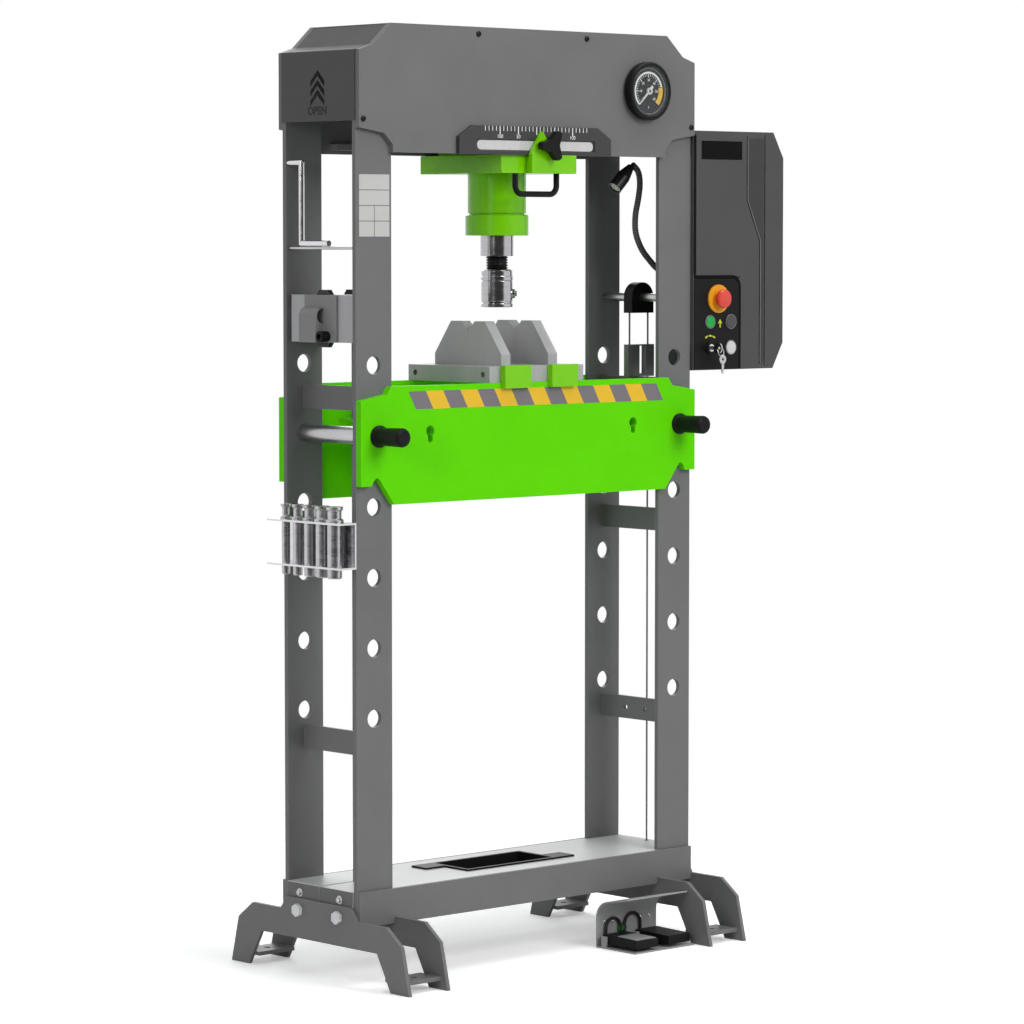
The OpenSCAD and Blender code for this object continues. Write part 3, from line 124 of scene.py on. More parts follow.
class Piece:
    """Gathers the faces of one scene-made piece."""

    def __init__(self, name):
        self.name = name
        self.points = []
        self.faces = []

    def loft(self, place, rings, loop=False):
        """Skins equal rings of points, with an end face on each unless they form a loop."""
        count = len(rings[0])
        start = len(self.points)
        self.points += [place @ Vector(point) for ring in rings for point in ring]
        for i in range(len(rings) if loop else len(rings) - 1):
            low = start + i * count
            high = start + (i + 1) % len(rings) * count
            for j in range(count):
                k = (j + 1) % count
                self.faces.append((low + j, low + k, high + k, high + j))
        if not loop:
            last = start + (len(rings) - 1) * count
            self.faces.append(tuple(start + j for j in reversed(range(count))))
            self.faces.append(tuple(last + j for j in range(count)))

    def slab(self, place, outline, low, high):
        """An outline drawn on a face, thickened from low to high out of it."""
        self.loft(place, [[(x, y, z) for x, y in outline] for z in (low, high)])

    def turned(self, place, profile, steps=CURVE_STEPS, loop=False):
        """A profile of (radius, height) turned about the drawing's z."""
        rings = [[(x, y, height) for x, y in circle(radius, steps)] for radius, height in profile]
        self.loft(place, rings, loop)

    def arc(self, place, inner, outer, first, last, low, high, steps=24):
        """A flat band between two radii, from one angle to another in degrees."""
        turns = [math.radians(first + (last - first) * i / steps) for i in range(steps + 1)]
        for a, b in zip(turns, turns[1:]):
            self.slab(
                place,
                [
                    (radius * math.cos(turn), radius * math.sin(turn))
                    for radius, turn in ((inner, a), (outer, a), (outer, b), (inner, b))
                ],
                low,
                high,
            )

    def text(self, place, words, height, thickness, bold=0.0):
        """Raised words, centred on the drawing's origin."""
        font = bpy.data.curves.new(self.name + "_font", "FONT")
        font.body = words
        font.size = height
        font.align_x = "CENTER"
        font.align_y = "CENTER"
        font.extrude = thickness / 2
        font.offset = bold
        font.resolution_u = FONT_STEPS
        holder = bpy.data.objects.new(self.name + "_font", font)
        mesh = holder.to_mesh()
        lift = Matrix.Translation((0, 0, thickness / 2))
        start = len(self.points)
        self.points += [place @ lift @ vertex.co for vertex in mesh.vertices]
        self.faces += [tuple(start + i for i in face.vertices) for face in mesh.polygons]
        holder.to_mesh_clear()
        bpy.data.objects.remove(holder)
        bpy.data.curves.remove(font)

    def tube(self, path, radius, steps=12, loop=False):
        """A round bar along a path of points."""
        path = [Vector(point) for point in path]
        count = len(path)
        side = None
        rings = []
        for i, point in enumerate(path):
            ahead = path[(i + 1) % count] if loop or i + 1 < count else point
            behind = path[i - 1] if loop or i > 0 else point
            along = (ahead - behind).normalized()
            if side is None:
                side = along.orthogonal()
            side = (side - along * side.dot(along)).normalized()
            other = along.cross(side)
            rings.append([point + side * x + other * y for x, y in circle(radius, steps)])
        self.loft(Matrix.Identity(4), rings, loop)

    def finish(self, material, body, slot, round_mm=0.0):
        """Makes the piece in the row frame, riding on a body."""
        mesh = bpy.data.meshes.new(self.name)
        mesh.from_pydata([point * MM + ORIGIN for point in self.points], [], self.faces)
        mesh.validate()
        for polygon in mesh.polygons:
            polygon.use_smooth = True
        mesh.set_sharp_from_angle(angle=SMOOTH_ANGLE)
        mesh.materials.append(material)
        made = bpy.data.objects.new(self.name, mesh)
        bpy.context.scene.collection.objects.link(made)
        if round_mm:
            rounding = made.modifiers.new("rounded edges", "BEVEL")
            rounding.width = round_mm * MM
            rounding.segments = ROUNDING_STEPS
            rounding.limit_method = "ANGLE"
        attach(made, body)
        return made


# --------------------------------------------------------------- materials

SRGB_KNEE = 0.04045


def linear(red, green, blue):
    """A colour given as 0-255 sRGB, as Blender's linear colour."""

    def channel(value):
        value /= 255
        if value <= SRGB_KNEE:
            return value / 12.92
        return ((value + 0.055) / 1.055) ** 2.4

    return (channel(red), channel(green), channel(blue), 1.0)


def scaled(colour, share):
    return tuple(min(1.0, channel * share) for channel in colour[:3]) + (1.0,)


def node(tree, kind, inputs=None, **settings):
    """A shader node with its settings, input values and links."""
    made = tree.nodes.new("ShaderNode" + kind)
    for key, value in settings.items():
        setattr(made, key, value)
    for key, value in (inputs or {}).items():
        if isinstance(value, bpy.types.NodeSocket):
            tree.links.new(value, made.inputs[key])
        else:
            made.inputs[key].default_value = value
    return made


# Sockets of a Mix node that mixes colours
MIX_SHARE, MIX_FIRST, MIX_SECOND, MIX_RESULT = 0, 6, 7, 2


def mixed(tree, share, first, second):
    """Two colours mixed by a share that varies over the surface."""
    made = node(tree, "Mix", data_type="RGBA")
    for socket, value in ((MIX_SHARE, share), (MIX_FIRST, first), (MIX_SECOND, second)):
        if isinstance(value, bpy.types.NodeSocket):
            tree.links.new(value, made.inputs[socket])
        else:
            made.inputs[socket].default_value = value
    return made.outputs[MIX_RESULT]


def ranged(tree, value, source, target, **settings):
    """A value carried from one range to another, and held within it."""
    inputs = {
        "Value": value,
        "From Min": source[0],
        "From Max": source[1],
        "To Min": target[0],
        "To Max": target[1],
    }
    return node(tree, "MapRange", inputs, **settings).outputs[0]


def blank(name):
    """A new material with its tree emptied down to an output node."""
    made = bpy.data.materials.new(name)
    made.use_nodes = True
    made.node_tree.nodes.clear()
    return made, made.node_tree, node(made.node_tree, "OutputMaterial")


def inside(tree, coordinates, low, high):
    """1 inside a box of press millimetres and 0 outside it."""
    axes = node(tree, "SeparateXYZ", {"Vector": coordinates})
    corners = [Vector(corner) * MM + ORIGIN for corner in (low, high)]
    share = None
    for axis, bounds in enumerate(zip(*corners)):
        for operation, bound in zip(("GREATER_THAN", "LESS_THAN"), bounds):
            test = node(tree, "Math", {0: axes.outputs[axis], 1: bound}, operation=operation)
            if share is not None:
                both = {0: share, 1: test.outputs[0]}
                test = node(tree, "Math", both, operation="MULTIPLY")
            share = test.outputs[0]
    return share


CLOUD_NOISE = {"Detail": 6.0, "Roughness": 0.62}
FINE_NOISE = {"Detail": 3.0, "Roughness": 0.55}
# Bands of the noises' values that a finish is drawn from
CLOUD_BAND, GLOSS_BAND, NOISE_BAND = (0.28, 0.72), (0.25, 0.75), (0.3, 0.7)
SPECK_SHARES, SPECK_SHADE = (0.0, 0.09), 0.55
# Cosine between the flat and the rounded normal, from the face to the edge painted lighter,
# partly for wear and partly as a painted highlight
EDGE_BAND, EDGE_SAMPLES = (0.985, 0.86), 6
# Patchy share of the lighter edge colour: partly wear, partly painted highlight
WEAR_AND_HIGHLIGHT_SHARES = (0.35, 0.95)
# Share of the colour left in the furrows between ridges: painted shade
FURROW_SHADE = 0.45
# A wave texture's scale times its pitch
WAVE_TURN = math.pi / 10
COAT_ROUGH, LEAST_ROUGH = 0.12, 0.03


def surface(
    name,
    colour,
    metal=0.0,
    rough=0.45,
    rough_swing=0.07,
    shade=0.07,
    patch=7.0,
    grain=650.0,
    grain_mm=0.03,
    edge=None,
    edge_mm=1.2,
    stretch=(1.0, 1.0, 1.0),
    ridges=None,
    zones=(),
    coat=0.0,
    specular=0.3,
):
    """A procedural finish: cloudy colour, fine grain, uneven gloss, and edges painted lighter,
    partly for wear and partly as a painted highlight.

    patch and grain are the two noises' scales per metre, ridges is (axis, pitch mm,
    depth mm) for a thread, and zones are (low, high, colour) boxes painted otherwise."""
    made, tree, output = blank(name)
    made.diffuse_color = colour
    coordinates = node(tree, "TexCoord").outputs["Object"]
    drawn = node(tree, "Mapping", {"Vector": coordinates, "Scale": stretch}).outputs[0]
    clouds, fine = (
        node(tree, "TexNoise", {"Vector": drawn, "Scale": scale, **noise}).outputs[0]
        for scale, noise in ((patch, CLOUD_NOISE), (grain, FINE_NOISE))
    )

    def tint(base):
        ramp = node(tree, "ValToRGB", {"Fac": clouds})
        for stop, place, share in zip(ramp.color_ramp.elements, CLOUD_BAND, (-shade, shade)):
            stop.position = place
            stop.color = scaled(base, 1 + share)
        return ramp.outputs[0]

    paint = tint(colour)
    for low, high, other in zones:
        paint = mixed(tree, inside(tree, coordinates, low, high), paint, tint(other))
    speck = ranged(tree, fine, NOISE_BAND, SPECK_SHARES)
    paint = mixed(tree, speck, paint, scaled(colour, SPECK_SHADE))

    shader = node(tree, "BsdfPrincipled", {"Metallic": metal, "Specular IOR Level": specular})
    if coat:
        shader.inputs["Coat Weight"].default_value = coat
        shader.inputs["Coat Roughness"].default_value = COAT_ROUGH
    bump = node(tree, "Bump", {"Strength": 1.0, "Distance": grain_mm * MM, "Height": fine})
    # Edges painted lighter: partly wear, partly a painted highlight
    if edge:
        soft = node(tree, "Bevel", {"Radius": edge_mm * MM}, samples=EDGE_SAMPLES).outputs[0]
        flat = node(tree, "NewGeometry").outputs["Normal"]
        agree = node(tree, "VectorMath", {0: soft, 1: flat}, operation="DOT_PRODUCT")
        edge_wear_and_highlight = ranged(tree, agree.outputs["Value"], EDGE_BAND, (0.0, 1.0))
        wear_and_highlight_patches = ranged(tree, clouds, NOISE_BAND, WEAR_AND_HIGHLIGHT_SHARES)
        share = node(tree, "Math", {0: edge_wear_and_highlight, 1: wear_and_highlight_patches}, operation="MULTIPLY")
        paint = mixed(tree, share.outputs[0], paint, edge)
        tree.links.new(soft, bump.inputs["Normal"])
    normal = bump.outputs[0]
    if ridges:
        axis, pitch, depth = ridges
        wave = node(
            tree,
            "TexWave",
            {"Vector": coordinates, "Scale": WAVE_TURN / (pitch * MM), "Distortion": 0.0},
            bands_direction=axis,
        ).outputs["Fac"]
        normal = node(
            tree,
            "Bump",
            {"Strength": 1.0, "Distance": depth * MM, "Height": wave, "Normal": normal},
        ).outputs[0]
        # Painted shade: the furrows between the ridges are darker
        paint = mixed(tree, wave, scaled(colour, FURROW_SHADE), paint)
    least = max(LEAST_ROUGH, rough - rough_swing)
    gloss = ranged(tree, clouds, GLOSS_BAND, (least, rough + rough_swing))
    tree.links.new(paint, shader.inputs["Base Color"])
    tree.links.new(gloss, shader.inputs["Roughness"])
    tree.links.new(normal, shader.inputs["Normal"])
    tree.links.new(shader.outputs[0], output.inputs[0])
    return made


GLASS_SMEAR = {"Scale": 60.0, "Detail": 4.0}
GLASS_HAZE, GLASS_ROUGH = (0.02, 0.05), (0.03, 0.09)


def glazing(name):
    """Clear gauge glass: it lets the dial through and keeps a gloss."""
    made, tree, output = blank(name)
    coordinates = node(tree, "TexCoord").outputs["Object"]
    smear = node(tree, "TexNoise", {"Vector": coordinates, **GLASS_SMEAR}).outputs[0]
    shader = node(
        tree,
        "BsdfPrincipled",
        {
            "Base Color": linear(215, 222, 224),
            "Roughness": ranged(tree, smear, (0.0, 1.0), GLASS_ROUGH),
            "Alpha": ranged(tree, smear, (0.0, 1.0), GLASS_HAZE),
        },
    )
    tree.links.new(shader.outputs[0], output.inputs[0])
    return made


GREY = linear(108, 108, 109)
DARK = linear(70, 70, 71)
BLACK = linear(24, 24, 25)
PALE_EDGE = linear(158, 158, 158)
TERMINAL_GREEN = linear(34, 110, 48)

# Room around a painted zone, so that a face on its limit is inside
ZONE_ROOM = 5.0


def end_zones(node, axis, depth, below_top=-ZONE_ROOM):
    """The two boxes that hold a CAD node's ends along an axis."""
    low, high = press_box(node)
    room = Vector((ZONE_ROOM, ZONE_ROOM, ZONE_ROOM))
    first, last = low - room, high + room
    last.z = high.z - below_top
    first_end, last_start = last.copy(), first.copy()
    first_end[axis] = low[axis] + depth
    last_start[axis] = high[axis] - depth
    return [(first, first_end), (last_start, last)]


WINCH_FEET = end_zones("winch_bracket", axis=2, depth=10.0)
LEG_BOLTS = end_zones("legs", axis=0, depth=7.8)
# The sheet's bent-down ends, below its top, get a painted shade darker than the top
SHADED_SHEET_ENDS = end_zones("base_top_sheet", axis=0, depth=1.2, below_top=1.2)
TERMINAL_LOW, TERMINAL_HIGH = (237.5, -134.5, 0), (264.5, -123, 18.5)

SURFACES = {
    "grey_paint": dict(colour=GREY, rough=0.46, edge=PALE_EDGE),
    "leg_paint": dict(
        colour=GREY,
        rough=0.46,
        edge=PALE_EDGE,
        zones=[(low, high, linear(222, 222, 223)) for low, high in LEG_BOLTS],
    ),
    "dark_paint": dict(colour=DARK, rough=0.48, edge=linear(120, 120, 121)),
    # Painted shade for the cover's sloped band
    "fold_shade_paint": dict(colour=linear(60, 60, 61), rough=0.5, shade=0.1, specular=0.2),
    "cover_paint": dict(colour=linear(134, 134, 135), rough=0.44, edge=linear(175, 175, 175)),
    # Button rings, and the painted highlight along the cover's fold
    "ring_and_highlight_paint": dict(colour=linear(124, 124, 125), rough=0.45, shade=0.08),
    "scale_paint": dict(colour=linear(56, 56, 57), rough=0.5, edge=linear(110, 110, 111)),
    "light_sheet": dict(colour=linear(150, 150, 151), rough=0.42, edge=linear(185, 185, 185)),
    # Base sheet, with painted shade on its bent-down ends
    "base_sheet_shaded_ends": dict(
        colour=linear(204, 204, 205),
        rough=0.42,
        edge=linear(190, 190, 190),
        zones=[(low, high, linear(92, 92, 93)) for low, high in SHADED_SHEET_ENDS],
    ),
    "winch_sheet": dict(
        colour=linear(178, 178, 179),
        rough=0.44,
        edge=linear(205, 205, 205),
        zones=[(low, high, BLACK) for low, high in WINCH_FEET],
    ),
    "table_green": dict(
        colour=linear(96, 216, 0), rough=0.5, shade=0.05, edge=linear(126, 232, 40), specular=0.09
    ),
    "unit_green": dict(
        colour=linear(120, 204, 0),
        rough=0.26,
        shade=0.05,
        edge=linear(144, 212, 36),
        specular=0.22,
        coat=0.18,
    ),
    "machined_steel": dict(
        colour=linear(192, 192, 194),
        metal=1.0,
        rough=0.3,
        shade=0.14,
        patch=14.0,
        grain=420.0,
        stretch=(1.0, 1.0, 7.0),
        edge=linear(215, 215, 216),
        edge_mm=0.8,
    ),
    "block_steel": dict(
        colour=linear(170, 170, 171),
        metal=0.3,
        rough=0.5,
        shade=0.12,
        patch=18.0,
        grain=500.0,
        grain_mm=0.05,
        edge=linear(196, 196, 197),
        stretch=(1.0, 1.0, 0.15),
    ),
    "bright_steel": dict(
        colour=linear(218, 218, 220),
        metal=1.0,
        rough=0.16,
        rough_swing=0.05,
        shade=0.08,
        patch=20.0,
        grain=900.0,
        grain_mm=0.006,
        stretch=(1.0, 1.0, 9.0),
        edge=linear(238, 238, 238),
        edge_mm=0.6,
    ),
    "ram_steel": dict(
        colour=linear(182, 182, 184),
        metal=1.0,
        rough=0.14,
        rough_swing=0.05,
        shade=0.12,
        patch=30.0,
        grain=900.0,
        grain_mm=0.004,
        stretch=(1.0, 1.0, 6.0),
        edge=linear(240, 240, 240),
        edge_mm=0.9,
    ),
    "rope_steel": dict(
        colour=linear(150, 150, 152),
        metal=1.0,
        rough=0.4,
        shade=0.15,
        patch=60.0,
        ridges=("DIAGONAL", 3.0, 0.5),
    ),
    "thread_steel": dict(
        colour=linear(62, 62, 63),
        metal=0.8,
        rough=0.34,
        shade=0.15,
        ridges=("Z", 6.0, 1.6),
    ),
    "black_plastic": dict(
        colour=BLACK,
        rough=0.4,
        shade=0.16,
        grain=1100.0,
        edge=linear(54, 54, 55),
        edge_mm=1.0,
        specular=0.1,
    ),
    "lamp_plastic": dict(colour=linear(30, 30, 31), rough=0.26, shade=0.16, grain=1100.0),
    "hose_plastic": dict(
        colour=linear(96, 96, 97), rough=0.55, specular=0.2, shade=0.14, ridges=("Z", 5.0, 0.5)
    ),
    "cable_plastic": dict(
        colour=BLACK,
        rough=0.5,
        shade=0.15,
        zones=[(TERMINAL_LOW, TERMINAL_HIGH, TERMINAL_GREEN)],
    ),
    "up_plastic": dict(colour=linear(72, 72, 73), rough=0.35, shade=0.1, grain=1200.0),
    "yellow_plastic": dict(colour=linear(235, 160, 30), rough=0.36, shade=0.06, grain=1200.0),
    "red_plastic": dict(
        colour=linear(222, 70, 55), rough=0.3, shade=0.07, grain=1200.0, coat=0.3
    ),
    "green_plastic": dict(colour=linear(0, 165, 60), rough=0.3, shade=0.07, coat=0.3),
    "white_plastic": dict(colour=linear(208, 208, 205), rough=0.35, shade=0.05, coat=0.2),
    "terminal_green": dict(colour=TERMINAL_GREEN, rough=0.4, shade=0.1, grain=1200.0),
    "mark_white": dict(colour=linear(232, 232, 230), rough=0.5, shade=0.05, grain=1500.0),
    "inlay": dict(
        colour=linear(205, 205, 204),
        metal=0.25,
        rough=0.4,
        shade=0.06,
        stretch=(9.0, 1.0, 1.0),
    ),
    "label": dict(colour=linear(194, 194, 192), rough=0.5, shade=0.04, grain=1500.0),
    "label_line": dict(colour=linear(104, 104, 104), rough=0.5, shade=0.06, grain=1500.0),
    "stripe_grey": dict(colour=linear(118, 113, 118), rough=0.45, shade=0.06, grain=900.0),
    "stripe_amber": dict(colour=linear(231, 186, 46), rough=0.45, shade=0.05, grain=900.0),
    "mark_lime": dict(colour=linear(196, 205, 60), rough=0.45, shade=0.06, grain=1500.0),
    "mark_dark": dict(colour=linear(30, 30, 31), rough=0.6, shade=0.1, grain=1500.0),
    # Black plate, and the painted shade in the groove round the panel
    "plate_black_and_groove_shade": dict(
        colour=linear(14, 14, 15),
        rough=0.4,
        shade=0.12,
        edge=linear(52, 52, 52),
        edge_mm=0.6,
        specular=0.05,
    ),
    "screw_black": dict(
        colour=linear(38, 38, 39), metal=0.6, rough=0.38, shade=0.15, patch=80.0
    ),
    "lamp_lens": dict(
        colour=linear(225, 225, 218), rough=0.25, shade=0.06, ridges=("X", 3.0, 0.2)
    ),
}
MATERIALS = {name: surface(name, **finish) for name, finish in SURFACES.items()}
MATERIALS["gauge_glass"] = glazing("gauge_glass")

OWN_FINISH = {
    "scale_plate": "scale_paint",
    "base_top_sheet": "base_sheet_shaded_ends",
    "winch_bracket": "winch_sheet",
    "v_block_left": "block_steel",
    "v_block_right": "block_steel",
    "spindle": "thread_steel",
    "lamp_arm": "hose_plastic",
    "lamp_head": "lamp_plastic",
    "pedal_cables": "cable_plastic",
    "up_button": "up_plastic",
    "tool_rack": "bright_steel",
    "mandrels": "machined_steel",
    "piston_rod": "ram_steel",
    "tool_coupling": "ram_steel",
    "block_stops": "unit_green",
    "legs": "leg_paint",
    "pedal_guard": "light_sheet",
    "winch_cover": "cover_paint",
    "pin_left": "machined_steel",
    "pin_right": "machined_steel",
    "cross_rods": "machined_steel",
}
for part in frame["record"]["subparts"]:
    name = part["node"]
    finish = MATERIALS[OWN_FINISH.get(name, part["material_slot"])]
    slots = frame["nodes"][name].data.materials
    if len(slots) == 0:
        slots.append(finish)
    for index in range(len(slots)):
        slots[index] = finish


# ------------------------------------------------------------ small pieces

# A turned end closes on a hole this small
TIP_R = 0.1
SCREW_STEPS = 24
# Radius and height, in shares of a screw's radius and of a bolt's width across flats
SCREW_PROFILE, SCREW_FLOOR = ((1, 0), (1, 0.25), (0.85, 0.45), (0.55, 0.55), (0.5, 0.2)), 0.18
WASHER_PROFILE = ((0.85, 0), (0.85, 0.14), (0.6, 0.18))
HEXAGON_PROFILE = ((1, 0.18), (1, 0.55), (0.86, 0.64))


def button_screw(piece, place, radius):
    """A domed socket screw with its drive recess."""
    profile = [(share * radius, height * radius) for share, height in SCREW_PROFILE]
    piece.turned(place, [*profile, (TIP_R, SCREW_FLOOR * radius)], SCREW_STEPS)


def hex_bolt(piece, place, width):
    """A washer and a hexagon head with a chamfered top."""
    corner = width / math.cos(math.pi / 6) / 2
    washer = [(share * width, height * width) for share, height in WASHER_PROFILE]
    hexagon = [(share * corner, height * width) for share, height in HEXAGON_PROFILE]
    piece.turned(place, washer, SCREW_STEPS)
    piece.turned(place, hexagon, 6)


# Screws that hold the head's covers, front and rear
SCREW_PLACES = [(-149, 1886), (149, 1886), (-452, 1711), (452, 1711)]
SCREW_R = 6.0
screws = Piece("head_screws")
head_front = press_box("head_front_plate")[0].y
head_rear = press_box("head_rear_plate")[1].y
for screw_x, screw_z in SCREW_PLACES:
    button_screw(screws, facing("front", screw_x, head_front, screw_z), SCREW_R)
    button_screw(screws, facing("rear", screw_x, head_rear, screw_z), SCREW_R)
screws.finish(MATERIALS["screw_black"], "frame", "black_steel")

# Bright bed of the scale's slot, with the screw head at its left end
SLOT_X, SLOT_Z = 160.0, (1655.5, 1674.5)
SLOT_FLOOR_Y = -131.5
INLAY_T, INLAY_SCREW_IN = 0.35, 14.0
INLAY_SCREW = ((5.0, 0), (4.6, 0.35), (2.2, 0.4), (2.0, 0.15), (TIP_R, 0.15))
inlay = Piece("scale_inlay")
slot_face = facing("front", 0, SLOT_FLOOR_Y, 0)
inlay.slab(slot_face, stadium(-SLOT_X, SLOT_Z[0], SLOT_X, SLOT_Z[1]), 0, INLAY_T)
screw_place = facing("front", INLAY_SCREW_IN - SLOT_X, SLOT_FLOOR_Y - INLAY_T, sum(SLOT_Z) / 2)
inlay.turned(screw_place, INLAY_SCREW, SCREW_STEPS)
inlay.finish(MATERIALS["inlay"], "frame", "bright_steel")

# Scale of the sliding unit: a mark each 10 mm, and numbers at 50 and 100
SCALE_REACH, SCALE_STEP, SCALE_MAJOR = 140, 10, 50
SCALE_NUMBERS = (-100, -50, 50, 100)
SCALE_TOP_Z, SCALE_NUMBER_DROP, SCALE_NUMBER_H = 1703.0, 20.5, 11.0
SCALE_LONG, SCALE_SHORT = (16.0, 1.2), (9.5, 0.8)  # length and half width
MARK_T = 0.25
scale_front = press_box("scale_plate")[0].y
marks = Piece("scale_marks")
scale_face = facing("front", 0, scale_front, 0)
for value in range(-SCALE_REACH, SCALE_REACH + 1, SCALE_STEP):
    length, half = SCALE_SHORT if value % SCALE_MAJOR else SCALE_LONG
    marks.slab(
        scale_face,
        rectangle(value - half, SCALE_TOP_Z - length, value + half, SCALE_TOP_Z),
        0,
        MARK_T,
    )
for value in SCALE_NUMBERS:
    number_place = facing("front", value, scale_front, SCALE_TOP_Z - SCALE_NUMBER_DROP)
    marks.text(number_place, str(abs(value)), SCALE_NUMBER_H, MARK_T)
marks.finish(MATERIALS["mark_white"], "frame", "white_plastic")

# Gauge: dial marks, warning arc, inner ring and glass
GAUGE_X, GAUGE_Z = 313.0, 1783.0
DIAL_Y, GLASS_Y = -138.5, -144.9
GAUGE_RIM_R = 52.55
DIAL_START, DIAL_SWEEP = 225.0, 270.0
DIAL_DIVISIONS, DIAL_NUMBER_EACH, DIAL_VALUE = 30, 5, 2
AMBER_SHARE, AMBER_GAP, AMBER_IN_R, AMBER_STEPS = 0.78, 1.0, 29.0, 16
DIAL_ARC, DIAL_TICK_R, DIAL_NUMBER_R = (36.5, 40.5), 35.5, 22.5
DIAL_LONG, DIAL_SHORT = (7.5, 0.8), (4.5, 0.45)  # length and half width
DIAL_NUMBER_H, DIAL_UNIT_H, DIAL_UNIT_DROP = 7.5, 9.0, 33.0
INNER_RING = ((46.5, 0), (49.0, 0), (48.6, 1.6), (47.2, 1.6))
GLASS_PROFILE = ((GAUGE_RIM_R, 0), (GAUGE_RIM_R, 0.5), (38.0, 1.0), (TIP_R, 1.2))
dial_face = facing("front", GAUGE_X, DIAL_Y, GAUGE_Z)
amber_start = DIAL_START - DIAL_SWEEP * AMBER_SHARE
dial = Piece("gauge_dial_marks")
dial.arc(dial_face, *DIAL_ARC, amber_start, DIAL_START, 0, MARK_T, CURVE_STEPS)
for step in range(DIAL_DIVISIONS + 1):
    numbered = step % DIAL_NUMBER_EACH == 0
    turn = math.radians(DIAL_START - DIAL_SWEEP * step / DIAL_DIVISIONS)
    length, half = DIAL_LONG if numbered else DIAL_SHORT
    along = Vector((math.cos(turn), math.sin(turn)))
    across = Vector((-along.y, along.x)) * half
    tick_in, tick_out = along * (DIAL_TICK_R - length), along * DIAL_TICK_R
    corners = (tick_in - across, tick_out - across, tick_out + across, tick_in + across)
    dial.slab(dial_face, [tuple(corner) for corner in corners], 0, MARK_T)
    if numbered:
        at = along * DIAL_NUMBER_R
        place = facing("front", GAUGE_X + at.x, DIAL_Y, GAUGE_Z + at.y)
        dial.text(place, str(step * DIAL_VALUE), DIAL_NUMBER_H, MARK_T)
unit_place = facing("front", GAUGE_X, DIAL_Y, GAUGE_Z - DIAL_UNIT_DROP)
dial.text(unit_place, "t", DIAL_UNIT_H, MARK_T)
dial.finish(MATERIALS["mark_white"], "frame", "white_plastic")

warning = Piece("gauge_amber_arc")
warning.arc(
    dial_face,
    AMBER_IN_R,
    DIAL_ARC[1],
    DIAL_START - DIAL_SWEEP,
    amber_start - AMBER_GAP,
    0,
    MARK_T,
    AMBER_STEPS,
)
warning.finish(MATERIALS["stripe_amber"], "frame", "yellow_plastic")

inner_ring = Piece("gauge_inner_ring")
inner_ring.turned(dial_face, INNER_RING, loop=True)
inner_ring.finish(MATERIALS["label_line"], "frame", "grey_paint")

glass = Piece("gauge_glass")
glass.turned(facing("front", GAUGE_X, GLASS_Y, GAUGE_Z), GLASS_PROFILE)
glass.finish(MATERIALS["gauge_glass"], "frame", "white_plastic")

# The word under the chevrons of both flaps
OPEN_Z, OPEN_H, OPEN_BOLD = 1728.0, 23.0, 0.55
flap_left, flap_right = press_box("end_cover_left")[0].x, press_box("end_cover_right")[1].x
for side, face_x in (("left", flap_left), ("right", flap_right)):
    word = Piece("flap_word_" + side)
    word.text(facing(side, face_x, 0, OPEN_Z), "OPEN", OPEN_H, MARK_T, OPEN_BOLD)
    word.finish(MATERIALS["mark_dark"], side + "_flap", "black_steel")

# Slanted hazard stripes along the table's top edge
STRIPE_X, STRIPE_Z = (-319.0, 368.0), (1139.0, 1175.0)
STRIPES, STRIPE_LEAN = 15, 20.0
table_front = press_box("table_front_plate")[0].y
stripe_w = (STRIPE_X[1] - STRIPE_X[0]) / STRIPES
table_face = facing("front", 0, table_front, 0)
for index, (name, finish) in enumerate(
    (("stripes_grey", "stripe_grey"), ("stripes_amber", "stripe_amber"))
):
    stripes = Piece(name)
    for stripe in range(index, STRIPES, 2):
        left = STRIPE_X[0] + stripe * stripe_w
        stripes.slab(
            table_face,
            [
                (left, STRIPE_Z[0]),
                (left + stripe_w, STRIPE_Z[0]),
                (left + stripe_w - STRIPE_LEAN, STRIPE_Z[1]),
                (left - STRIPE_LEAN, STRIPE_Z[1]),
            ],
            0,
            MARK_T,
        )
    stripes.finish(MATERIALS[finish], "frame", "yellow_plastic" if index else "grey_paint")

# Blank data plate on the left upright, ruled into fields
LABEL_X, LABEL_Z = (-453.0, -375.0), (1481.0, 1603.0)
LABEL_T, RULE_T, RULE_HALF = 0.4, 0.15, 0.7
RULE_SHARES = (0.25, 0.5, 0.75)
upright_front = press_box("side_frame_left")[0].y
label_face = facing("front", 0, upright_front, 0)
label = Piece("upright_label")
label.slab(label_face, rectangle(LABEL_X[0], LABEL_Z[0], LABEL_X[1], LABEL_Z[1]), 0, LABEL_T)
label.finish(MATERIALS["label"], "frame", "white_plastic")
rules = Piece("upright_label_rules")
label_h = LABEL_Z[1] - LABEL_Z[0]
label_mid = sum(LABEL_X) / 2
ruled = []
for share in RULE_SHARES:
    level = LABEL_Z[0] + share * label_h
    ruled.append(rectangle(LABEL_X[0], level - RULE_HALF, LABEL_X[1], level + RULE_HALF))
middle_z = LABEL_Z[0] + label_h / 2
ruled.append(rectangle(label_mid - RULE_HALF, LABEL_Z[0], label_mid + RULE_HALF, middle_z))
for outline in ruled:
    rules.slab(label_face, outline, LABEL_T, LABEL_T + RULE_T)
rules.finish(MATERIALS["label_line"], "frame", "grey_paint")

# Blank black plate on the cabinet
PLATE_X, PLATE_Z, PLATE_T = (488.0, 610.0), (1645.0, 1684.0), 0.8
cover_low, cover_high = press_box("cabinet_cover")
cover_face = facing("front", 0, cover_low.y, 0)
plate = Piece("cabinet_plate")
plate.slab(cover_face, rectangle(PLATE_X[0], PLATE_Z[0], PLATE_X[1], PLATE_Z[1]), 0, PLATE_T)
plate.finish(MATERIALS["plate_black_and_groove_shade"], "frame", "black_plastic", round_mm=0.4)

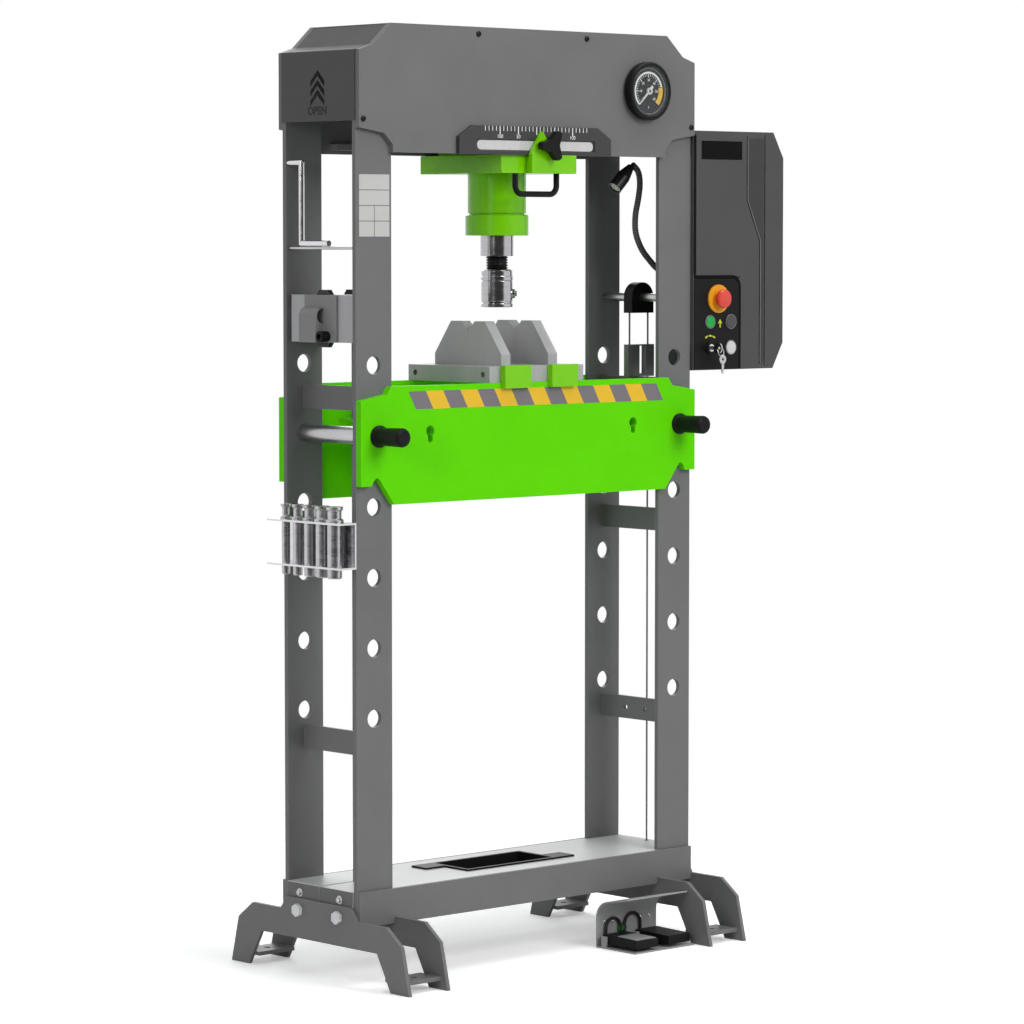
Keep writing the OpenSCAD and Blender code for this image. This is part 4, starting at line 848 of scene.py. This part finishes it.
# Painted shade: a black band in the groove round the panel, and a painted shadow in the gap above
# it beside the upright
GROOVE_SHADE_W, GROOVE_SHADE_R, GROOVE_SHADE_T = 9.0, 16.0, 1.0
GROOVE_SHADE_FIT = 0.5
SEAM_SHADOW_W, SEAM_SHADOW_T, SEAM_SHADOW_END = 6.0, 0.6, 8.0
CORNER_STEPS = 8
panel_low, panel_high = press_box("control_panel")


def panel_edge(margin, radius):
    """The panel's right side and top at a margin, joined by a round corner."""
    right, top = panel_high.x + margin, panel_high.z + margin
    corner = []
    for i in range(CORNER_STEPS + 1):
        turn = math.pi / 2 * i / CORNER_STEPS
        corner.append(
            (right - radius + radius * math.cos(turn), top - radius + radius * math.sin(turn))
        )
    return [(corner[0][0], panel_low.z), *corner, (panel_low.x, corner[-1][1])]


groove_shade = Piece("panel_groove_shade")
outer = panel_edge(GROOVE_SHADE_W, GROOVE_SHADE_R + GROOVE_SHADE_W)
inner = panel_edge(GROOVE_SHADE_FIT, GROOVE_SHADE_R)
for (a, b), (c, d) in zip(zip(outer, outer[1:]), zip(inner, inner[1:])):
    groove_shade.slab(cover_face, [c, a, b, d], 0, GROOVE_SHADE_T)
# Painted shadow in the gap beside the upright
groove_shade.slab(
    cover_face,
    rectangle(
        cover_low.x + GROOVE_SHADE_FIT,
        panel_high.z + GROOVE_SHADE_W,
        cover_low.x + SEAM_SHADOW_W,
        cover_high.z - SEAM_SHADOW_END,
    ),
    0,
    SEAM_SHADOW_T,
)
groove_shade.finish(MATERIALS["plate_black_and_groove_shade"], "frame", "black_plastic")

# Painted shade over the cover's sloped band, with a painted highlight along its fold
FOLD_SHADE_IN = (108.0, 69.0, 60.0)  # from the cover's right side
FOLD_SHADE_DOWN = (146.0, 232.0)  # from its top
FOLD_SHADE_MARGIN, FOLD_SHADE_T = 14.0, 0.25
HIGHLIGHT_W, HIGHLIGHT_SPAN = 1.6, (0.1, 0.45)
shade_left, shade_fold, shade_right = (cover_high.x - inset for inset in FOLD_SHADE_IN)
shade_upper, shade_lower = (cover_high.z - drop for drop in FOLD_SHADE_DOWN)
shade_top, shade_foot = cover_high.z - FOLD_SHADE_MARGIN, cover_low.z + FOLD_SHADE_MARGIN
fold_shade = Piece("cover_fold_shade")
fold_shade.slab(
    cover_face,
    [
        (shade_fold, shade_foot),
        (shade_right, shade_foot),
        (shade_right, shade_top),
        (shade_left, shade_top),
        (shade_left, shade_upper),
        (shade_fold, shade_lower),
    ],
    0,
    FOLD_SHADE_T,
)
fold_shade.finish(MATERIALS["fold_shade_paint"], "frame", "dark_paint")
# Painted highlight: a light line along the edge of the fold
fold_highlight = Piece("cover_highlights")
highlight_line = [
    (shade_left, shade_top),
    (shade_left, shade_upper),
    (shade_fold, shade_lower),
    (shade_fold, shade_foot),
]
for (x0, z0), (x1, z1) in zip(highlight_line, highlight_line[1:]):
    fold_highlight.slab(cover_face, [(x1 - HIGHLIGHT_W, z1), (x1, z1), (x0, z0), (x0 - HIGHLIGHT_W, z0)], *HIGHLIGHT_SPAN)
fold_highlight.finish(MATERIALS["ring_and_highlight_paint"], "frame", "dark_paint")

# Control panel: arrows, key arc and button rings
PANEL_T = 2.0
ARROW = [(-2, -9), (2, -9), (2, 0), (6.5, 0), (0, 9), (-6.5, 0), (-2, 0)]
ARROW_X, ARROW_LEVELS = 543.0, ((1298.0, 1), (1246.0, -1))
KEY_X, KEY_Y, KEY_Z = 513.0, -147.0, 1246.0
KEY_ARC, KEY_ARC_STARTS, KEY_ARC_SWEEP, KEY_ARC_STEPS = (24.0, 27.5), (55, 80, 105), 19, 5
# Radius beyond the button's own, and height
BUTTON_RING = ((0.4, 0), (2.0, 0), (2.0, 1.6), (1.5, 2.4), (0.8, 2.4), (0.4, 2.0))
panel_front = cover_low.y - PANEL_T
arrows = Piece("panel_marks")
for arrow_z, sign in ARROW_LEVELS:
    outline = [(x, sign * y) for x, y in ARROW]
    place = facing("front", ARROW_X, panel_front, arrow_z)
    arrows.slab(place, outline if sign > 0 else outline[::-1], 0, MARK_T)
key_face = facing("front", KEY_X, panel_front, KEY_Z)
for first in KEY_ARC_STARTS:
    arrows.arc(key_face, *KEY_ARC, first, first + KEY_ARC_SWEEP, 0, MARK_T, KEY_ARC_STEPS)
arrows.finish(MATERIALS["mark_lime"], "frame", "yellow_plastic")

rings = Piece("button_rings")
for button in ("start_button", "up_button", "down_button"):
    low, high = press_box(button)
    middle = (low + high) / 2
    radius = (high.x - low.x) / 2
    rings.turned(
        facing("front", middle.x, panel_front, middle.z),
        [(radius + beyond, height) for beyond, height in BUTTON_RING],
        loop=True,
    )
rings.finish(MATERIALS["ring_and_highlight_paint"], "frame", "bright_steel")

# Spare key on a wire ring, hanging from the key in the switch
RING_R, RING_LEAN, RING_WIRE = 9.0, 2.0, 0.9
RING_SHIFT, SPARE_SHIFT = (7.0, -8.0), (13.0, -24.0)
SPARE_BOW = ((3.0, -1), (9.5, -1), (10, 0), (9.5, 1), (3.0, 1))
SPARE_BLADE = [
    (-3.5, -8.5),
    (-3.5, -28),
    (-1, -31),
    (2, -29),
    (2, -26),
    (3.5, -24.5),
    (2, -23),
    (2, -20),
    (3.5, -18),
    (3.5, -8.5),
]
SPARE_HALF_T = 0.9
ring_middle = Vector((KEY_X + RING_SHIFT[0], KEY_Y, KEY_Z + RING_SHIFT[1]))
ring_path = [
    ring_middle + Vector((x * RING_R, y * RING_LEAN, y * RING_R)) for x, y in circle(1.0)
]
spare = Piece("spare_key")
spare.tube(ring_path, RING_WIRE, loop=True)
spare_face = facing("front", KEY_X + SPARE_SHIFT[0], KEY_Y, KEY_Z + SPARE_SHIFT[1])
spare.turned(spare_face, SPARE_BOW, loop=True)
spare.slab(spare_face, SPARE_BLADE, -SPARE_HALF_T, SPARE_HALF_T)
spare.finish(MATERIALS["machined_steel"], "switch_key", "bright_steel")

# Lens in the mouth of the work lamp
LAMP_ROOT, LAMP_ALONG, LAMP_L = Vector((362, -40, 1633)), Vector((-0.719, 0, -0.695)), 72.0
LENS_IN = 8.0
LENS_PROFILE = ((12.8, 0), (12.8, 4.0), (9.0, 5.2), (TIP_R, 5.6))
lens = Piece("lamp_lens")
lens.turned(aimed(LAMP_ROOT + LAMP_ALONG * (LAMP_L - LENS_IN), LAMP_ALONG), LENS_PROFILE)
lens.finish(MATERIALS["lamp_lens"], "frame", "white_plastic")

# Light tread on the left pedal
pedal_low, pedal_high = press_box("pedal_left")
PEDAL_NOSE, PEDAL_HEEL, PEDAL_FALL = 2.0, 3.0, 2.0
TREAD_MARGIN, TREAD_SHARE, TREAD_T = 3.0, 0.62, 1.2
top_l = pedal_high.y - PEDAL_HEEL - pedal_low.y - PEDAL_NOSE
top_face = facing("top", 0, pedal_low.y + PEDAL_NOSE, pedal_high.z - PEDAL_FALL)
tread = Piece("pedal_tread")
tread.slab(
    top_face @ Matrix.Rotation(math.atan2(PEDAL_FALL, top_l), 4, "X"),
    rectangle(
        pedal_low.x + TREAD_MARGIN,
        TREAD_MARGIN - PEDAL_NOSE,
        pedal_high.x - TREAD_MARGIN,
        TREAD_SHARE * top_l,
    ),
    0,
    TREAD_T,
)
tread.finish(MATERIALS["light_sheet"], "left_pedal", "light_sheet", round_mm=0.5)

# Screws on the wall of the pedal guard
GUARD_T = 3.0
GUARD_SCREWS_IN, GUARD_SCREW_Z, GUARD_SCREW_R = (22.0, 46.0), 52.0, 4.5
guard_low, guard_high = press_box("pedal_guard")
guard_wall = guard_high.y - GUARD_T
near, far = GUARD_SCREWS_IN
guard_screws = Piece("guard_screws")
for screw_x in (guard_low.x + near, guard_low.x + far, guard_high.x - far, guard_high.x - near):
    button_screw(
        guard_screws, facing("front", screw_x, guard_wall, GUARD_SCREW_Z), GUARD_SCREW_R
    )
guard_screws.finish(MATERIALS["bright_steel"], "frame", "bright_steel")

# Terminal strip on the guard's wall, between the two leads
TERMINAL_X, TERMINAL_Z, TERMINAL_WAYS = 240.0, 30.0, 4
TERMINAL_PITCH, TERMINAL_D = 5.6, 7.0
TERMINAL_OUTLINE = [(0, 0), (5, 0), (5, 8), (4, 10), (1, 10), (0, 8)]
TERMINAL_SCREW = ((1.8, 0), (1.8, 0.6), (1.1, 0.6), (1.0, 0.1), (TIP_R, 0.1))
TERMINAL_SCREW_AT, TERMINAL_SCREW_STEPS = (2.5, 5.0), 20
terminals = Piece("terminal_strip")
for way in range(TERMINAL_WAYS):
    wall = facing("front", TERMINAL_X + TERMINAL_PITCH * way, guard_wall, TERMINAL_Z)
    screw_place = wall @ Matrix.Translation((*TERMINAL_SCREW_AT, TERMINAL_D))
    terminals.slab(wall, TERMINAL_OUTLINE, 0, TERMINAL_D)
    terminals.turned(screw_place, TERMINAL_SCREW, TERMINAL_SCREW_STEPS)
terminals.finish(MATERIALS["terminal_green"], "frame", "green_plastic", round_mm=0.4)

# Bolts through the flanges of the base sheet
BASE_BOLT_Y, BASE_BOLT_Z, BASE_BOLT_W = 62.0, 165.0, 10.0
sheet_low, sheet_high = press_box("base_top_sheet")
base_bolts = Piece("base_bolts")
for side, face_x in (("left", sheet_low.x), ("right", sheet_high.x)):
    for bolt_y in (-BASE_BOLT_Y, BASE_BOLT_Y):
        hex_bolt(base_bolts, facing(side, face_x, bolt_y, BASE_BOLT_Z), BASE_BOLT_W)
base_bolts.finish(MATERIALS["machined_steel"], "frame", "machined_steel")


# ------------------------------------------------------- floor, light, camera

WHITE = (1.0, 1.0, 1.0, 1.0)
FLOOR_HALF, FLOOR_DROP = 6.0, 0.0005
FLOOR_FADE = (0.9, 2.6)
FLOOR_LIFT = 0.32
FLOOR_GRAIN = {"Scale": 90.0, "Detail": 4.0}
AMBIENT, AMBIENT_TINT = 0.34, (0.97, 0.985, 1.0, 1.0)


def floor_material():
    """Pale floor that keeps the shadow and fades into the white surroundings."""
    made, tree, output = blank("studio_floor")
    coordinates = node(tree, "TexCoord").outputs["Object"]
    grain = node(tree, "TexNoise", {"Vector": coordinates, **FLOOR_GRAIN})
    paint = mixed(tree, grain.outputs[0], linear(250, 250, 250), linear(254, 254, 254))
    matt = node(tree, "BsdfDiffuse", {"Color": paint})
    seen = node(tree, "LightPath").outputs["Is Camera Ray"]
    lift = node(tree, "Math", {0: seen, 1: FLOOR_LIFT}, operation="MULTIPLY")
    glow = node(tree, "Emission", {"Color": WHITE, "Strength": lift.outputs[0]})
    pale = node(tree, "AddShader", {0: matt.outputs[0], 1: glow.outputs[0]})
    clear = node(tree, "BsdfTransparent")
    reach = node(tree, "VectorMath", {0: coordinates}, operation="LENGTH").outputs["Value"]
    fade = ranged(tree, reach, FLOOR_FADE, (0.0, 1.0), interpolation_type="SMOOTHSTEP")
    blend = node(tree, "MixShader", {0: fade, 1: pale.outputs[0], 2: clear.outputs[0]})
    tree.links.new(blend.outputs[0], output.inputs[0])
    return made


# A dark curtain stands where the photograph was taken from, and only reflections show it
CURTAIN_SIDE = Vector((-0.67, -0.74, 0.07))
CURTAIN_EDGE = (0.5, 0.74)
CURTAIN_LIGHT = 0.06


def studio_world():
    """White where it is seen, softer where it lights the press, curtained in reflections."""
    world = bpy.data.worlds.new("studio")
    world.use_nodes = True
    tree = world.node_tree
    tree.nodes.clear()
    output = node(tree, "OutputWorld")
    path = node(tree, "LightPath").outputs
    seen = node(
        tree,
        "Math",
        {0: path["Is Camera Ray"], 1: path["Is Transmission Ray"]},
        operation="MAXIMUM",
    )
    toward = node(tree, "TexCoord").outputs["Generated"]
    near = node(tree, "VectorMath", {0: toward, 1: CURTAIN_SIDE}, operation="DOT_PRODUCT")
    mirrored = ranged(
        tree,
        near.outputs["Value"],
        CURTAIN_EDGE,
        (1.0, CURTAIN_LIGHT),
        interpolation_type="SMOOTHSTEP",
    )
    dim, curtain, white = (
        node(tree, "Background", {"Color": colour, "Strength": strength}).outputs[0]
        for colour, strength in ((AMBIENT_TINT, AMBIENT), (WHITE, mirrored), (WHITE, 1.0))
    )
    lit = node(tree, "MixShader", {0: path["Is Glossy Ray"], 1: dim, 2: curtain})
    blend = node(tree, "MixShader", {0: seen.outputs[0], 1: lit.outputs[0], 2: white})
    tree.links.new(blend.outputs[0], output.inputs[0])
    return world


floor_mesh = bpy.data.meshes.new("floor")
floor_mesh.from_pydata(
    [(x * FLOOR_HALF, y * FLOOR_HALF, 0) for x, y in ((-1, -1), (1, -1), (1, 1), (-1, 1))],
    [],
    [(0, 1, 2, 3)],
)
floor_mesh.materials.append(floor_material())
floor = bpy.data.objects.new("floor", floor_mesh)
floor.location.z = cad_bounds[0].z - FLOOR_DROP
bpy.context.scene.collection.objects.link(floor)
bpy.context.scene.world = studio_world()

TARGET = Vector((0, 0, 0.95))
LIGHTS = {
    # name: place, size and watts
    "key": ((0.4, -6.0, 4.0), 3.0, 215),
    "left_fill": ((-6.0, -2.2, 3.0), 2.4, 92),
    "top": ((0.6, -0.6, 5.4), 3.0, 105),
    "rear_fill": ((3.0, 5.5, 3.4), 3.0, 90),
}
for name, (place, size, watts) in LIGHTS.items():
    lamp = bpy.data.lights.new(name, "AREA")
    lamp.shape = "SQUARE"
    lamp.size = size
    lamp.energy = watts
    holder = bpy.data.objects.new(name, lamp)
    holder.location = place
    holder.rotation_euler = (TARGET - Vector(place)).to_track_quat("-Z", "Y").to_euler()
    bpy.context.scene.collection.objects.link(holder)

CAMERA_PLACE = Vector((-5515.56, -6109.57, 1471.12)) * MM + ORIGIN
CAMERA_YAW, CAMERA_PITCH = math.radians(42.358), math.radians(3.873)
CAMERA_LENS, CAMERA_SENSOR = 140.40, 36.0
lens_data = bpy.data.cameras.new("photo_camera")
lens_data.sensor_fit = "HORIZONTAL"
lens_data.sensor_width = CAMERA_SENSOR
lens_data.lens = CAMERA_LENS
camera = bpy.data.objects.new("photo_camera", lens_data)
camera.location = CAMERA_PLACE
ahead = Vector(
    (
        math.sin(CAMERA_YAW) * math.cos(CAMERA_PITCH),
        math.cos(CAMERA_YAW) * math.cos(CAMERA_PITCH),
        -math.sin(CAMERA_PITCH),
    )
)
camera.rotation_euler = ahead.to_track_quat("-Z", "Y").to_euler()
bpy.context.scene.collection.objects.link(camera)
bpy.context.scene.camera = camera
bpy.context.scene.view_settings.view_transform = "Standard"
